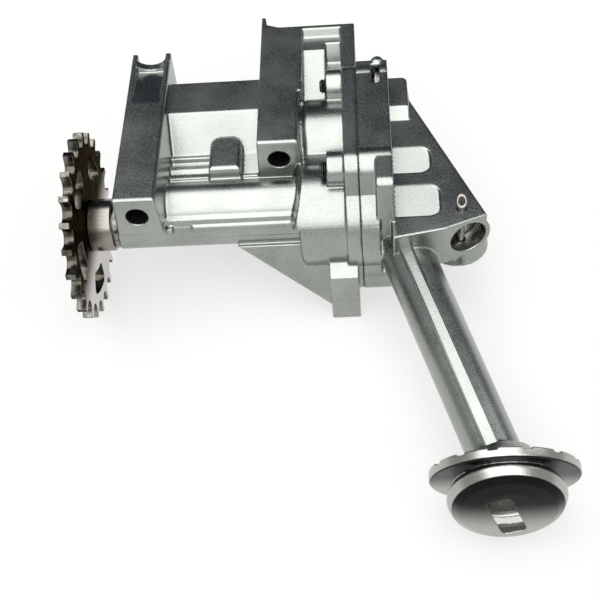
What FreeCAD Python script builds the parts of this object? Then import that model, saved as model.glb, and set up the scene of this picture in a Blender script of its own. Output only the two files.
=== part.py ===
import FreeCAD, Part
import math
import os

# Engine oil pump, chain driven, two external gears, cast aluminium housing and cover.
# Frame in millimetres: X runs along the drive shaft from the sprocket to the cover,
# Y points to the engine block, Z up from the surface the pump lies on.
# The origin is the centre of the sprocket's hub side face, on the shaft axis.

V = FreeCAD.Vector
X_AXIS = V(1, 0, 0)
Y_AXIS = V(0, 1, 0)
Z_AXIS = V(0, 0, 1)

# Clearances
RUNNING_GAP = 0.05        # radial, turning or sliding fits
SEAT_GAP = 0.05           # radial, fixed pins and dowels in their holes
BOLT_GAP = 0.35           # radial, bolt in its clearance hole
THREAD_GAP = 0.10         # radial, plain bolt shank in its tapped hole
TIP_GAP = 0.12            # gear tip to its pocket wall
FACE_GAP = 0.06           # gear side to its pocket floor

# Sprocket and hub
CHAIN_PITCH = 9.525
SPROCKET_TEETH = 23
SPROCKET_THICK = 4.0
ROLLER_SEAT_R = 3.3
TOOTH_ADDENDUM = 2.55
TOOTH_FLANK_LEAN = 14.0   # degrees
WINDOW_COUNT = 5
WINDOW_R_IN = 19.0
WINDOW_R_OUT = 28.0
WINDOW_HALF_ANGLE = 20.0
WINDOW_CORNER_R = 2.6
WINDOW_START = 26.0       # degrees, first window's middle
HUB_R = 10.6
HUB_LENGTH = 9.6
HUB_RIM_BEVEL = 0.6
WASHER_R = 9.4
WASHER_THICK = 1.6

# Shaft and its housing
SHAFT_R = 6.5
NOSE_LENGTH = 5.4         # shaft in front of the sprocket's hub side face
TUBE_R = 10.0
TUBE_START = 12.0
SADDLE_R = 10.9
SADDLE_Y = 3.4
SADDLE_Z = 3.5
SADDLE_END = 84.0

# Columns that carry the pump on the block
COLUMN_TOP_Z = 28.3
COLUMN_HEIGHT = 18.8
FRONT_COLUMN_X = 23.0
REAR_COLUMN_X = 77.2
COLUMN_TOP_WIDTH = 16.2
COLUMN_DRAFT = 0.9        # each side, over the column's height
FRONT_FOOT_Y = -15.0
FRONT_SEAT_Y = 67.0
REAR_FOOT_Y = 13.0
REAR_SEAT_Y = 84.4
BOLT_BORE_R = 4.3
BOLT_BORE_DEPTH = 9.3     # below the column's top face
COLUMN_EDGE_R = 1.2
EAR_THICK = 2.3
EAR_REACH = 4.2
EAR_START = 22.6          # length of the ramp between the ears
EAR_RECESS = 3.2
REAR_EAR_REACH = 6.8
SADDLE_GROOVE_R = 8.0
SADDLE_LIP = 4.0

# Web between the columns
WEB_TOP_Z = 23.0
WEB_FAR_Y = 57.5
WEB_CREST_Y = 38.5
WEB_SLOPE_Y = 27.5
WEB_FLOOR_Z = 10.0
WEB_THICK = 6.0
WEB_DIP = 4.0             # the web's end at the shaft housing lies lower by this
WEB_RIB_FAR = (23.6, 25.8)
WEB_RIB_NEAR = (13.2, 14.8)
WEB_RIB_END_X = 50.0
WEB_RIB_DEPTH = 8.0
WEB_RIB_FAR_PROUD = 1.6
WEB_RIB_NEAR_PROUD = 0.6
GALLERY_R = 2.7
GALLERY_Y = 19.2
GALLERY_SINK = 2.2
WEB_BOSS_X = (48.6, 61.4)
WEB_BOSS_Y = (12.0, 31.5)
WEB_BOSS_DEPTH = 6.0
WEB_BOSS_PROUD = 6.5
WEB_BOSS_CORNER_R = 4.2
WEB_BOSS_EDGE_R = 1.6

# Gears
GEAR_TEETH = 10
GEAR_MODULE = 2.8
PRESSURE_ANGLE = 28.0
GEAR_ADDENDUM = 2.6
GEAR_DEDENDUM = 3.3
GEAR_BACKLASH = 0.3
GEAR_WIDTH = 16.0
CENTRE_LINE_ANGLE = 8.5   # degrees, from +Y towards +Z
AXLE_R = 5.5
AXLE_GRIP = 9.0           # length held in the cover
SHAFT_GRIP = 6.0          # shaft end carried in the cover
KEY_R = 1.6

# Gear case and flange
CASE_R = 20.0
CASE_START = 84.5
CASE_EDGE_R = 3.0
UPPER_LOBE_SHIFT = (5.0, 1.0)     # from the driven gear's axis
CASE_BRIDGE_Y = 17.5
CASE_BRIDGE_Z = (-12.0, 17.2)
AXLE_BOSS_R = 8.0
AXLE_BOSS_LENGTH = 6.0
AXLE_SOCKET = 3.0         # the axle's end behind the case's face
BODY_FLANGE = 5.7
FLANGE_BOSS_R = 7.7
FLANGE_LOBE_R = 21.5
PARTING_X = 108.7
BOLT_PLACES = ((48.4, 25.0), (0.5, 25.0), (-13.0, -18.5), (50.0, -20.0))
BODY_BOSS_R = 6.8
BODY_BOSS_LENGTH = 6.6
THREAD_DEPTH = 20.0
LUG_START = 95.3
LUG_THICK = 11.4
LUG_WIDTH = 15.5
LUG_REACH = 10.4          # front face beyond the bolt's axis
LUG_RISE = 5.7            # front face's top above the bolt's axis
LUG_CHAMFER = 4.6
LUG_EDGE_R = 1.0
GROUND_Z = -37.5
GUSSET_TOP = V(58.9, -8.0, -6.0)  # slanting gusset from the shaft housing to the front lug
GUSSET_FOOT_Y = -20.0
GUSSET_FOOT_Z = -31.5
GUSSET_THICK = 3.0
SHELF_START = 81.6        # overhanging upper part of the case around the drive gear
SHELF_PROUD = 0.6
SHELF_EDGE = (-17.0, 10.0)
SHELF_END_LEAN = 4.9

# Cover
COVER_FLANGE = 7.3
COVER_BODY = 5.5
COVER_BOSS_R = 8.0
WEDGE_TOP_Z = 12.0
WEDGE_BASE_Z = -8.0
WEDGE_FAR_CORNER = (130.5, 52.1)
WEDGE_FRONT_RIGHT = 7.6   # the front face's reach to both sides of the valve's axis
WEDGE_FRONT_LEFT = 10.1
WEDGE_FRONT_Y = -25.1
POCKET_PLACES = ((24.0, 9.5, 137.0), (2.5, -14.0, 139.5))
POCKET_DEPTH = 3.0
POCKET_END_R = 5.0
BLOCK_FAR_Y = 62.8
BLOCK_NEAR_Y = 44.7
BLOCK_SLOPE = 4.7
BLOCK_END_X = 129.8
BLOCK_TOP_Z = 15.5
BLOCK_CORNER_R = 2.5
SLAB_TOP_Z = 32.7
SLAB_FRONT_Y = -16.5
SLAB_CORNER_R = 3.5
SLAB_FAR_Y = 58.0
SLAB_FAR_Z = 20.0
SLAB_FAR_LEAN = 4.0
SLAB_LOW = ((-19.0, -22.0), (50.0, -26.0), (60.0, -10.0))
LIP_NEAR_Y = 44.0         # the cover's far lip over the housing's flange
LIP_LOW_Z = 8.0
POST_PLACE = (117.5, 54.2)
POST_R = 2.7
POST_TOP_Z = 33.3
POST_EDGE_R = 2.0
POST_DEPTH = 12.0
HEAD_SLOT_X = (114.9, 118.2)      # slot over the first bolt's head
HEAD_SLOT_Y = (40.5, 51.4)
HEAD_SLOT_Z = 28.5

# Cover bolts
BOLT_R = 3.0
BOLT_LENGTH = 22.3
HEAD_R = 5.0
HEAD_HEIGHT = 5.4
HEAD_RECESS_R = 6.6
SOCKET_ACROSS = 5.0
SOCKET_DEPTH = 3.0
DOWEL_R = 3.0
DOWEL_LENGTH = 10.0
DOWEL_PLACES = ((26.0, 27.5), (3.0, -21.5))

# Relief valve, with its mouth at the lower right corner of the cover
VALVE_ANGLE = 21.1        # degrees, from -Y towards +X
VALVE_MOUTH_X = 149.7
VALVE_MOUTH_Y = -17.9
VALVE_MOUTH_Z = 2.5
VALVE_MOUTH = V(VALVE_MOUTH_X, VALVE_MOUTH_Y, VALVE_MOUTH_Z)
VALVE_BARREL_R = 9.4
VALVE_BARREL_LENGTH = 74.0
PISTON_R = 5.2
PISTON_LENGTH = 20.0
PISTON_WALL = 1.1
PISTON_CROWN = 2.5
CUP_R = 7.3
CUP_LENGTH = 9.0
CUP_WALL = 1.1
CUP_STEP = 10.0           # depth of the wider bore that holds the cup
PIN_DEPTH = 6.5           # split pin behind the mouth
FOOT_R = 12.6             # round foot under the valve's mouth
FOOT_TOP_R = 10.0
FOOT_BACK = 10.2
FOOT_LOW_Z = -11.0
FOOT_TOP_Z = -4.5
PIN_R = 1.3
PIN_EYE_R = 1.9           # to the middle of the wire
PIN_WIRE_R = 0.8
PIN_FOOT = 2.5            # the pin's end below the barrel
PIN_NECK = 1.0
SPRING_LENGTH = 40.0
SPRING_WIRE_R = 0.7
SPRING_R = 3.1
SPRING_TURNS = 6
WIRE_SIDES = 8
WIRE_STEPS = 12           # per turn
FEED_R = 3.0              # drilled way from the pressure port to the valve's seat
FEED_LENGTH = 6.0
SPILL_R = 2.8             # hole that the piston uncovers as it moves
PRESSURE_PORT_X = 112.5
PRESSURE_PORT_Y = 13.0
PRESSURE_PORT_Z = 12.5
PRESSURE_PORT = V(PRESSURE_PORT_X, PRESSURE_PORT_Y, PRESSURE_PORT_Z)
PRESSURE_PORT_R = 5.0
SUCTION_PORT_X = 113.7
SUCTION_PORT_Y = 16.0
SUCTION_LOW_X = 119.0
SUCTION_LOW_Y = 3.4
SUCTION_Z = -14.2
SUCTION_PORT = V(SUCTION_PORT_X, SUCTION_PORT_Y, SUCTION_Z)
SUCTION_PORT_R = 6.5
SUCTION_LOW = V(SUCTION_LOW_X, SUCTION_LOW_Y, SUCTION_Z)
SUCTION_R = 5.0
SUCTION_BREAK = 4.0       # depth past the point that a drilled way leads to

# Pickup tube and strainer
TUBE_TOP_X = 124.2
TUBE_TOP_Y = -12.5
TUBE_TOP_Z = -4.8
STRAINER_X = 154.7
STRAINER_Y = -115.6
STRAINER_Z = -12.0
TUBE_TOP = V(TUBE_TOP_X, TUBE_TOP_Y, TUBE_TOP_Z)
STRAINER_CENTRE = V(STRAINER_X, STRAINER_Y, STRAINER_Z)
PICKUP_R_TOP = 10.3
PICKUP_R_END = 9.5
PICKUP_BORE_R = 7.0
RIB_WIDTH = 4.4
RIB_PROUD = 0.9
RIB_INSET = 2.0
RIB_TILT = 50.0           # degrees, the rib's face above the horizontal
STRAINER_TILT = 14.0      # degrees, the disc turned down
BOTTOM_TILT = -3.0        # degrees, the bell's bottom turned up
DISC_R = 24.6
DISC_THICK = 1.4
FLARE_R = 18.0            # the tube's widened end at the disc
FLARE_LENGTH = 9.0
BELL_WALL = 0.9
RIM_PLAY = 0.5            # radial, disc to the rim around it
RIM_EDGE_R = 0.4
TAB_REACH = 2.0
TAB_COUNT = 14
TAB_NOTCH = 3.4
BELL_NECK_R = 17.6
BELL_BULGE_R = 20.5
BELL_DEPTH = 13.4         # rim's front face to the bottom, on the axis
BELL_CURVE = ((0.3, 9.5), (1.0, 4.0), (2.6, 1.4), (5.0, 0.2), (6.0, 0.0), (7.6, 0.6))
NECK_CURVE = ((9.0, 0.6), (10.2, 0.0))
SLOT_WIDTH = 8.7
SLOT_LENGTH = 21.2
SLOT_LOW = (2.9, -13.0)   # middle of the slot's lower end, from the bell's axis
SLOT_LEAN = 19.0          # degrees
SLOT_CORNER_R = 1.8
GAUZE_THICK = 0.4
GAUZE_RISE = 6.0
GAUZE_PLAY = 0.5
GAUZE_HOLD = 1.5          # overlap of the gauze's dome and its flat skirt

# Oil outlet in the block at the rear column
OUTLET_BLOCK_Y = 43.0
OUTLET_BLOCK_BASE = -12.0
OUTLET_R = 6.0
OUTLET_X = 97.0
OUTLET_Z = 4.0
OUTLET_DEPTH = 33.0
OUTLET_THROAT_R = 3.5
NOOK_WALL = 1.2           # between the rear column and the nook in the block's top
NOOK_FLANGE_WALL = 6.0
NOOK_SPLIT_X = 96.0
NOOK_RIM = 2.3
NOOK_LEFT = ((80.1, 24.9), (71.6, 24.9), (71.0, 23.9), (56.4, 19.5), (40.0, 15.0))
NOOK_RIGHT = ((80.1, 24.9), (76.1, 24.9), (71.8, 17.5), (40.0, 15.0))

# Sizes that follow from the ones above
PITCH_R = GEAR_MODULE * GEAR_TEETH / 2
CENTRE_DISTANCE = 2 * PITCH_R
GEAR_TIP_R = PITCH_R + GEAR_ADDENDUM
DRIVEN_Y = CENTRE_DISTANCE * math.cos(math.radians(CENTRE_LINE_ANGLE))
DRIVEN_Z = CENTRE_DISTANCE * math.sin(math.radians(CENTRE_LINE_ANGLE))
GEAR_START = PARTING_X - GEAR_WIDTH - FACE_GAP
POCKET_FLOOR = GEAR_START - FACE_GAP
FLANGE_START = PARTING_X - BODY_FLANGE
HEAD_SEAT_X = PARTING_X + COVER_FLANGE
COVER_END = HEAD_SEAT_X + COVER_BODY
COLUMN_BASE_Z = COLUMN_TOP_Z - COLUMN_HEIGHT
BOLT_AXIS_Z = COLUMN_TOP_Z - BOLT_BORE_DEPTH
SPROCKET_PITCH_R = CHAIN_PITCH / (2 * math.sin(math.pi / SPROCKET_TEETH))
SPROCKET_TIP_R = SPROCKET_PITCH_R + TOOTH_ADDENDUM
VALVE_DIR = V(math.sin(math.radians(VALVE_ANGLE)), -math.cos(math.radians(VALVE_ANGLE)), 0)
VALVE_SIDE = VALVE_DIR.cross(Z_AXIS) * -1
TUBE_DIR = (STRAINER_CENTRE - TUBE_TOP).normalize()
STRAINER_DIR = V(0, -math.cos(math.radians(STRAINER_TILT)), -math.sin(math.radians(STRAINER_TILT)))
BOTTOM_DIR = V(0, -math.cos(math.radians(BOTTOM_TILT)), -math.sin(math.radians(BOTTOM_TILT)))
RIM_R = DISC_R + RIM_PLAY + BELL_WALL
RIM_FRONT = GAUZE_THICK + 2 * SEAT_GAP + BELL_WALL
RIM_BACK = -DISC_THICK - SEAT_GAP
BELL_BASE = STRAINER_CENTRE + STRAINER_DIR * RIM_FRONT


def box(x0, x1, y0, y1, z0, z1):
    return Part.makeBox(x1 - x0, y1 - y0, z1 - z0, V(x0, y0, z0))


def rod(radius, start, direction, length):
    return Part.makeCylinder(radius, length, start, direction)


def rod_x(radius, y, z, x0, x1):
    return rod(radius, V(x0, y, z), X_AXIS, x1 - x0)


def prism(points, push):
    face = Part.Face(Part.makePolygon(points + [points[0]]))
    return face.extrude(push)


def prism_x(outline, x0, x1):
    return prism([V(x0, y, z) for y, z in outline], V(x1 - x0, 0, 0))


def prism_y(outline, y0, y1):
    return prism([V(x, y0, z) for x, z in outline], V(0, y1 - y0, 0))


def prism_z(outline, z0, z1):
    return prism([V(x, y, z0) for x, y in outline], V(0, 0, z1 - z0))


def fuse(shapes):
    return shapes[0].multiFuse(shapes[1:]).removeSplitter()


def cut(shape, tools):
    return shape.cut(tools) if tools else shape


def edges_where(shape, test):
    return [edge for edge in shape.Edges if test(edge)]


def valve_point(depth):
    return VALVE_MOUTH - VALVE_DIR * depth


def place_on(shape, origin, direction):
    turn = FreeCAD.Rotation(Z_AXIS, direction)
    shape.Placement = FreeCAD.Placement(origin, turn)
    return shape


# Sprocket

def sprocket_outline():
    edges = []
    step = 2 * math.pi / SPROCKET_TEETH
    half_seat = math.radians(90 - TOOTH_FLANK_LEAN)
    for tooth in range(SPROCKET_TEETH):
        middle = tooth * step
        seat = V(0, math.cos(middle), math.sin(middle)) * SPROCKET_PITCH_R
        points = []
        for turn in (-half_seat, 0, half_seat):
            angle = middle + math.pi + turn
            points.append(seat + V(0, math.cos(angle), math.sin(angle)) * ROLLER_SEAT_R)
        lean = math.radians(TOOTH_FLANK_LEAN)
        rises = []
        for side, foot in ((1, points[0]), (-1, points[2])):
            out = V(0, math.cos(middle + side * lean), math.sin(middle + side * lean))
            along = foot.dot(out)
            reach = -along + math.sqrt(along ** 2 + SPROCKET_TIP_R ** 2 - foot.dot(foot))
            rises.append(foot + out * reach)
        edges.append((points, rises))
    wire = []
    for tooth in range(SPROCKET_TEETH):
        points, rises = edges[tooth]
        following = edges[(tooth + 1) % SPROCKET_TEETH]
        wire.append(Part.makeLine(rises[1], points[2]))
        wire.append(Part.Arc(points[2], points[1], points[0]).toShape())
        wire.append(Part.makeLine(points[0], rises[0]))
        land = (rises[0] + following[1][1]).normalize() * SPROCKET_TIP_R
        wire.append(Part.Arc(rises[0], land, following[1][1]).toShape())
    return Part.Wire(Part.__sortEdges__(wire))


def sprocket_window(middle):
    ring = rod_x(WINDOW_R_OUT, 0, 0, -SPROCKET_THICK, 0)
    ring = ring.cut(rod_x(WINDOW_R_IN, 0, 0, -SPROCKET_THICK, 0))
    reach = 2 * WINDOW_R_OUT
    left = math.radians(middle - WINDOW_HALF_ANGLE)
    right = math.radians(middle + WINDOW_HALF_ANGLE)
    fan = [(0, 0)]
    fan.append((reach * math.cos(left), reach * math.sin(left)))
    fan.append((reach * math.cos(right), reach * math.sin(right)))
    window = ring.common(prism_x(fan, -SPROCKET_THICK, 0))
    corners = edges_where(window, lambda e: e.BoundBox.XLength > SPROCKET_THICK - 0.1)
    return window.makeFillet(WINDOW_CORNER_R, corners)


def make_sprocket_plate():
    face = Part.Face(sprocket_outline())
    plate = face.extrude(V(-SPROCKET_THICK, 0, 0))
    tools = [rod_x(SHAFT_R + SEAT_GAP, 0, 0, -SPROCKET_THICK - 1, 1)]
    for number in range(WINDOW_COUNT):
        tools.append(sprocket_window(WINDOW_START + number * 360 / WINDOW_COUNT))
    return cut(plate, tools)


def make_sprocket_hub():
    hub = rod_x(HUB_R, 0, 0, 0, HUB_LENGTH)
    rims = edges_where(hub, lambda e: isinstance(e.Curve, Part.Circle))
    hub = hub.makeChamfer(HUB_RIM_BEVEL, rims)
    return hub.cut(rod_x(SHAFT_R + SEAT_GAP, 0, 0, -1, HUB_LENGTH + 1))


def make_thrust_washer():
    washer = rod_x(WASHER_R, 0, 0, TUBE_START - FACE_GAP - WASHER_THICK, TUBE_START - FACE_GAP)
    return washer.cut(rod_x(SHAFT_R + SEAT_GAP, 0, 0, 0, TUBE_START + 1))


# Shaft and gears

def make_drive_shaft():
    end = PARTING_X + SHAFT_GRIP - FACE_GAP
    shaft = rod_x(SHAFT_R, 0, 0, -NOSE_LENGTH, end)
    rims = edges_where(shaft, lambda e: isinstance(e.Curve, Part.Circle))
    shaft = shaft.makeChamfer(HUB_RIM_BEVEL, rims)
    key_start = GEAR_START + GEAR_WIDTH / 4
    return shaft.cut(rod_x(KEY_R + SEAT_GAP, 0, SHAFT_R, key_start, GEAR_START + GEAR_WIDTH))


def make_drive_gear_key():
    key_start = GEAR_START + GEAR_WIDTH / 4 + FACE_GAP
    return rod_x(KEY_R, 0, SHAFT_R, key_start, GEAR_START + GEAR_WIDTH)


def involute_point(base_r, radius, half_angle_at_base):
    spread = math.sqrt((radius / base_r) ** 2 - 1)
    return half_angle_at_base - (spread - math.atan(spread))


def gear_outline(turn):
    alpha = math.radians(PRESSURE_ANGLE)
    base_r = PITCH_R * math.cos(alpha)
    root_r = PITCH_R - GEAR_DEDENDUM
    half_tooth = math.pi / (2 * GEAR_TEETH) - GEAR_BACKLASH / (2 * PITCH_R)
    half_base = half_tooth + math.tan(alpha) - alpha
    steps = 5
    wire = []
    for tooth in range(GEAR_TEETH):
        middle = turn + tooth * 2 * math.pi / GEAR_TEETH
        sides = []
        for side in (-1, 1):
            points = []
            for number in range(steps + 1):
                radius = base_r + (GEAR_TIP_R - base_r) * number / steps
                angle = middle + side * involute_point(base_r, radius, half_base)
                points.append(V(0, math.cos(angle), math.sin(angle)) * radius)
            sides.append(points)
        rising, falling = sides
        root_angle_in = middle - half_base
        root_angle_out = middle + half_base
        root_in = V(0, math.cos(root_angle_in), math.sin(root_angle_in)) * root_r
        root_out = V(0, math.cos(root_angle_out), math.sin(root_angle_out)) * root_r
        next_in_angle = root_angle_in + 2 * math.pi / GEAR_TEETH
        next_in = V(0, math.cos(next_in_angle), math.sin(next_in_angle)) * root_r
        dip_angle = (root_angle_out + next_in_angle) / 2
        dip = V(0, math.cos(dip_angle), math.sin(dip_angle)) * root_r
        crest = V(0, math.cos(middle), math.sin(middle)) * GEAR_TIP_R
        flank_up = Part.BSplineCurve()
        flank_up.interpolate(rising)
        flank_down = Part.BSplineCurve()
        flank_down.interpolate(falling)
        wire.append(Part.makeLine(root_in, rising[0]))
        wire.append(flank_up.toShape())
        wire.append(Part.Arc(rising[-1], crest, falling[-1]).toShape())
        wire.append(flank_down.toShape())
        wire.append(Part.makeLine(falling[0], root_out))
        wire.append(Part.Arc(root_out, dip, next_in).toShape())
    return Part.Wire(Part.__sortEdges__(wire))


def gear_blank(turn):
    blank = Part.Face(gear_outline(turn)).extrude(V(GEAR_WIDTH, 0, 0))
    blank.translate(V(GEAR_START, 0, 0))
    return blank


def make_drive_gear():
    gear = gear_blank(math.radians(CENTRE_LINE_ANGLE))
    bore = rod_x(SHAFT_R + SEAT_GAP, 0, 0, GEAR_START - 1, PARTING_X)
    keyway = rod_x(KEY_R + SEAT_GAP, 0, SHAFT_R, GEAR_START - 1, PARTING_X)
    return cut(gear, [bore, keyway])


def make_driven_gear():
    gap_turn = math.radians(CENTRE_LINE_ANGLE) + math.pi + math.pi / GEAR_TEETH
    gear = gear_blank(gap_turn)
    gear.translate(V(0, DRIVEN_Y, DRIVEN_Z))
    bore = rod_x(AXLE_R + RUNNING_GAP, DRIVEN_Y, DRIVEN_Z, GEAR_START - 1, PARTING_X)
    return gear.cut(bore)


def make_driven_axle():
    axle = rod_x(AXLE_R, DRIVEN_Y, DRIVEN_Z, CASE_START - AXLE_SOCKET, PARTING_X + AXLE_GRIP - FACE_GAP)
    rims = edges_where(axle, lambda e: isinstance(e.Curve, Part.Circle))
    return axle.makeChamfer(HUB_RIM_BEVEL, rims)


# Housing

def column(middle_x, foot_y, seat_y):
    half_top = COLUMN_TOP_WIDTH / 2
    half_base = half_top + COLUMN_DRAFT
    section = [(middle_x - half_base, COLUMN_BASE_Z), (middle_x + half_base, COLUMN_BASE_Z)]
    section += [(middle_x + half_top, COLUMN_TOP_Z), (middle_x - half_top, COLUMN_TOP_Z)]
    body = prism_y(section, foot_y, seat_y)
    top_edges = edges_where(body, lambda e: e.BoundBox.ZMin > COLUMN_TOP_Z - 0.01)
    foot_edges = [e for e in top_edges if e.BoundBox.YMax < foot_y + 0.01 or e.BoundBox.XMax > middle_x]
    return body.makeFillet(COLUMN_EDGE_R, [e for e in foot_edges if e.BoundBox.YMin < seat_y - 0.01])


def ear(x0, x1, y0, y1, depth):
    outline = [(y0, COLUMN_TOP_Z - depth), (y1, COLUMN_TOP_Z - depth)]
    outline += [(y1, COLUMN_TOP_Z), (y0, COLUMN_TOP_Z)]
    return prism_x(outline, x0, x1)


def front_column():
    half = COLUMN_TOP_WIDTH / 2
    left = FRONT_COLUMN_X - half
    right = FRONT_COLUMN_X + half
    body = column(FRONT_COLUMN_X, FRONT_FOOT_Y, FRONT_SEAT_Y)
    tip = FRONT_SEAT_Y + EAR_REACH
    ears = [ear(x, x + EAR_THICK, FRONT_SEAT_Y - 1, tip, COLUMN_HEIGHT) for x in (left, right - EAR_THICK)]
    body = fuse([body] + ears)
    floor_z = COLUMN_TOP_Z - EAR_RECESS
    recess_end = FRONT_SEAT_Y - SADDLE_LIP
    ramp = [(recess_end - EAR_START, COLUMN_TOP_Z), (recess_end, floor_z)]
    ramp += [(recess_end, COLUMN_TOP_Z + 1), (recess_end - EAR_START, COLUMN_TOP_Z + 1)]
    recess = prism_x(ramp, left + EAR_THICK, right - EAR_THICK)
    groove_z = floor_z + SADDLE_GROOVE_R + 1
    groove_start = V(FRONT_COLUMN_X, recess_end - 1, groove_z)
    groove = rod(SADDLE_GROOVE_R, groove_start, Y_AXIS, EAR_REACH + SADDLE_LIP + 2)
    return cut(body, [recess, groove])


def rear_column():
    half = COLUMN_TOP_WIDTH / 2
    left = REAR_COLUMN_X - half
    body = column(REAR_COLUMN_X, REAR_FOOT_Y, REAR_SEAT_Y)
    tip = REAR_SEAT_Y + REAR_EAR_REACH
    right = left + EAR_THICK
    outline = [(left, REAR_SEAT_Y - 1), (right + 5, REAR_SEAT_Y - 1), (right + 5, REAR_SEAT_Y)]
    outline += [(right, REAR_SEAT_Y + 2), (right - 0.6, tip), (left, tip)]
    return fuse([body, prism_z(outline, COLUMN_BASE_Z + 3, COLUMN_TOP_Z)])


def shaft_tube():
    tube = rod_x(TUBE_R, 0, 0, TUBE_START, CASE_START + 1)
    saddle = rod_x(SADDLE_R, SADDLE_Y, SADDLE_Z, FRONT_COLUMN_X, SADDLE_END)
    return [tube, saddle]


def web():
    x0 = FRONT_COLUMN_X
    x1 = REAR_COLUMN_X
    low_z = WEB_FLOOR_Z - WEB_DIP
    outline = [(WEB_FAR_Y, WEB_TOP_Z), (WEB_CREST_Y, WEB_TOP_Z), (WEB_SLOPE_Y, WEB_FLOOR_Z)]
    outline += [(SADDLE_Y, low_z), (SADDLE_Y, low_z - WEB_THICK)]
    outline += [(WEB_SLOPE_Y + WEB_THICK / 3, WEB_FLOOR_Z - WEB_THICK)]
    outline += [(WEB_CREST_Y + WEB_THICK / 2, WEB_TOP_Z - WEB_THICK), (WEB_FAR_Y, WEB_TOP_Z - WEB_THICK)]
    plate = prism_x(outline, x0, x1)
    rib_low = WEB_FLOOR_Z - WEB_RIB_DEPTH
    rib_far = box(x0, WEB_RIB_END_X, *WEB_RIB_FAR, rib_low, WEB_FLOOR_Z + WEB_RIB_FAR_PROUD)
    rib_near = box(x0, x1, *WEB_RIB_NEAR, rib_low, WEB_FLOOR_Z + WEB_RIB_NEAR_PROUD)
    gallery = rod_x(GALLERY_R, GALLERY_Y, WEB_FLOOR_Z - GALLERY_SINK, x0, WEB_BOSS_X[1])
    boss_top = WEB_FLOOR_Z + WEB_BOSS_PROUD
    boss = box(*WEB_BOSS_X, *WEB_BOSS_Y, WEB_FLOOR_Z - WEB_BOSS_DEPTH, boss_top)
    corners = edges_where(boss, lambda e: e.BoundBox.YMin > WEB_BOSS_Y[1] - 0.1 and e.BoundBox.XLength < 0.1)
    boss = boss.makeFillet(WEB_BOSS_CORNER_R, corners)
    lip = edges_where(boss, lambda e: e.BoundBox.ZMin > boss_top - 0.1)
    boss = boss.makeFillet(WEB_BOSS_EDGE_R, lip)
    return [plate, rib_far, rib_near, gallery, boss]


def lobe(radius, y, z, x0, x1, edge_r):
    shape = rod_x(radius, y, z, x0, x1)
    rims = edges_where(shape, lambda e: isinstance(e.Curve, Part.Circle) and e.BoundBox.XMax < x0 + 0.01)
    return shape.makeFillet(edge_r, rims)


def gear_case():
    end = FLANGE_START + 1
    lower = lobe(CASE_R, 0, 0, CASE_START, end, CASE_EDGE_R)
    upper_y = DRIVEN_Y + UPPER_LOBE_SHIFT[0]
    upper_z = DRIVEN_Z + UPPER_LOBE_SHIFT[1]
    upper = lobe(CASE_R, upper_y, upper_z, CASE_START + CASE_EDGE_R / 2, end, CASE_EDGE_R)
    section = [(0, CASE_R), (CASE_BRIDGE_Y, CASE_BRIDGE_Z[1]), (CASE_BRIDGE_Y, CASE_BRIDGE_Z[0])]
    bridge = prism_x(section + [(0, CASE_BRIDGE_Z[0])], CASE_START + CASE_EDGE_R, end)
    boss_start = CASE_START - AXLE_BOSS_LENGTH
    axle_boss = rod_x(AXLE_BOSS_R, DRIVEN_Y, DRIVEN_Z, boss_start, CASE_START + CASE_EDGE_R)
    return [lower, upper, bridge, axle_boss, case_shelf()]


def case_shelf():
    radius = CASE_R + SHELF_PROUD
    drum = lobe(radius, 0, 0, SHELF_START, FLANGE_START + 1, CASE_EDGE_R)
    edge_y, edge_z = SHELF_EDGE
    fan = [(edge_y * 2, edge_z * 2), (0, 0), (radius, 0), (radius, radius * 2), (edge_y * 2, radius * 2)]
    drum = drum.common(prism_x(fan, SHELF_START - 1, FLANGE_START + 2))
    profile = [(SHELF_START, -1), (SHELF_START, edge_z - 2), (SHELF_START + SHELF_END_LEAN, radius + 1)]
    profile += [(FLANGE_START + 1, radius + 1), (FLANGE_START + 1, -1)]
    return drum.common(prism_y(profile, -2 * radius, 2 * radius))


def bolt_pattern_plate(radius, x0, x1):
    corners = [BOLT_PLACES[0], BOLT_PLACES[1], BOLT_PLACES[2], BOLT_PLACES[3]]
    shapes = [prism_x(corners, x0, x1)]
    for number in range(len(corners)):
        y0, z0 = corners[number]
        y1, z1 = corners[(number + 1) % len(corners)]
        length = math.hypot(y1 - y0, z1 - z0)
        side_y = -(z1 - z0) / length * radius
        side_z = (y1 - y0) / length * radius
        strip = [(y0 + side_y, z0 + side_z), (y1 + side_y, z1 + side_z)]
        strip += [(y1 - side_y, z1 - side_z), (y0 - side_y, z0 - side_z)]
        shapes.append(prism_x(strip, x0, x1))
        shapes.append(rod_x(radius, y0, z0, x0, x1))
    shapes.append(rod_x(FLANGE_LOBE_R, 0, 0, x0, x1))
    return fuse(shapes)


def lug(place, lean):
    y, z = place
    front_y = y + lean * LUG_REACH
    back_y = front_y - lean * LUG_WIDTH
    top_z = z + LUG_RISE + LUG_CHAMFER
    outline = [(front_y, GROUND_Z), (front_y, z + LUG_RISE), (front_y - lean * LUG_CHAMFER, top_z)]
    outline += [(back_y, top_z), (back_y, GROUND_Z)]
    leg = prism_x(outline, LUG_START, LUG_START + LUG_THICK)
    sides = edges_where(leg, lambda e: e.BoundBox.XLength > LUG_THICK - 0.1)
    leg = leg.makeFillet(LUG_EDGE_R, sides)
    return fuse([leg, rod_x(FLANGE_BOSS_R, y, z, LUG_START, PARTING_X)])


def gusset():
    foot_x = LUG_START + LUG_EDGE_R
    top = V(foot_x, GUSSET_TOP.y, GUSSET_TOP.z)
    foot = V(foot_x, GUSSET_FOOT_Y, GUSSET_FOOT_Z)
    inward = (top - foot).normalize().cross(X_AXIS)
    return prism([GUSSET_TOP, top, foot], inward * -GUSSET_THICK)


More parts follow.
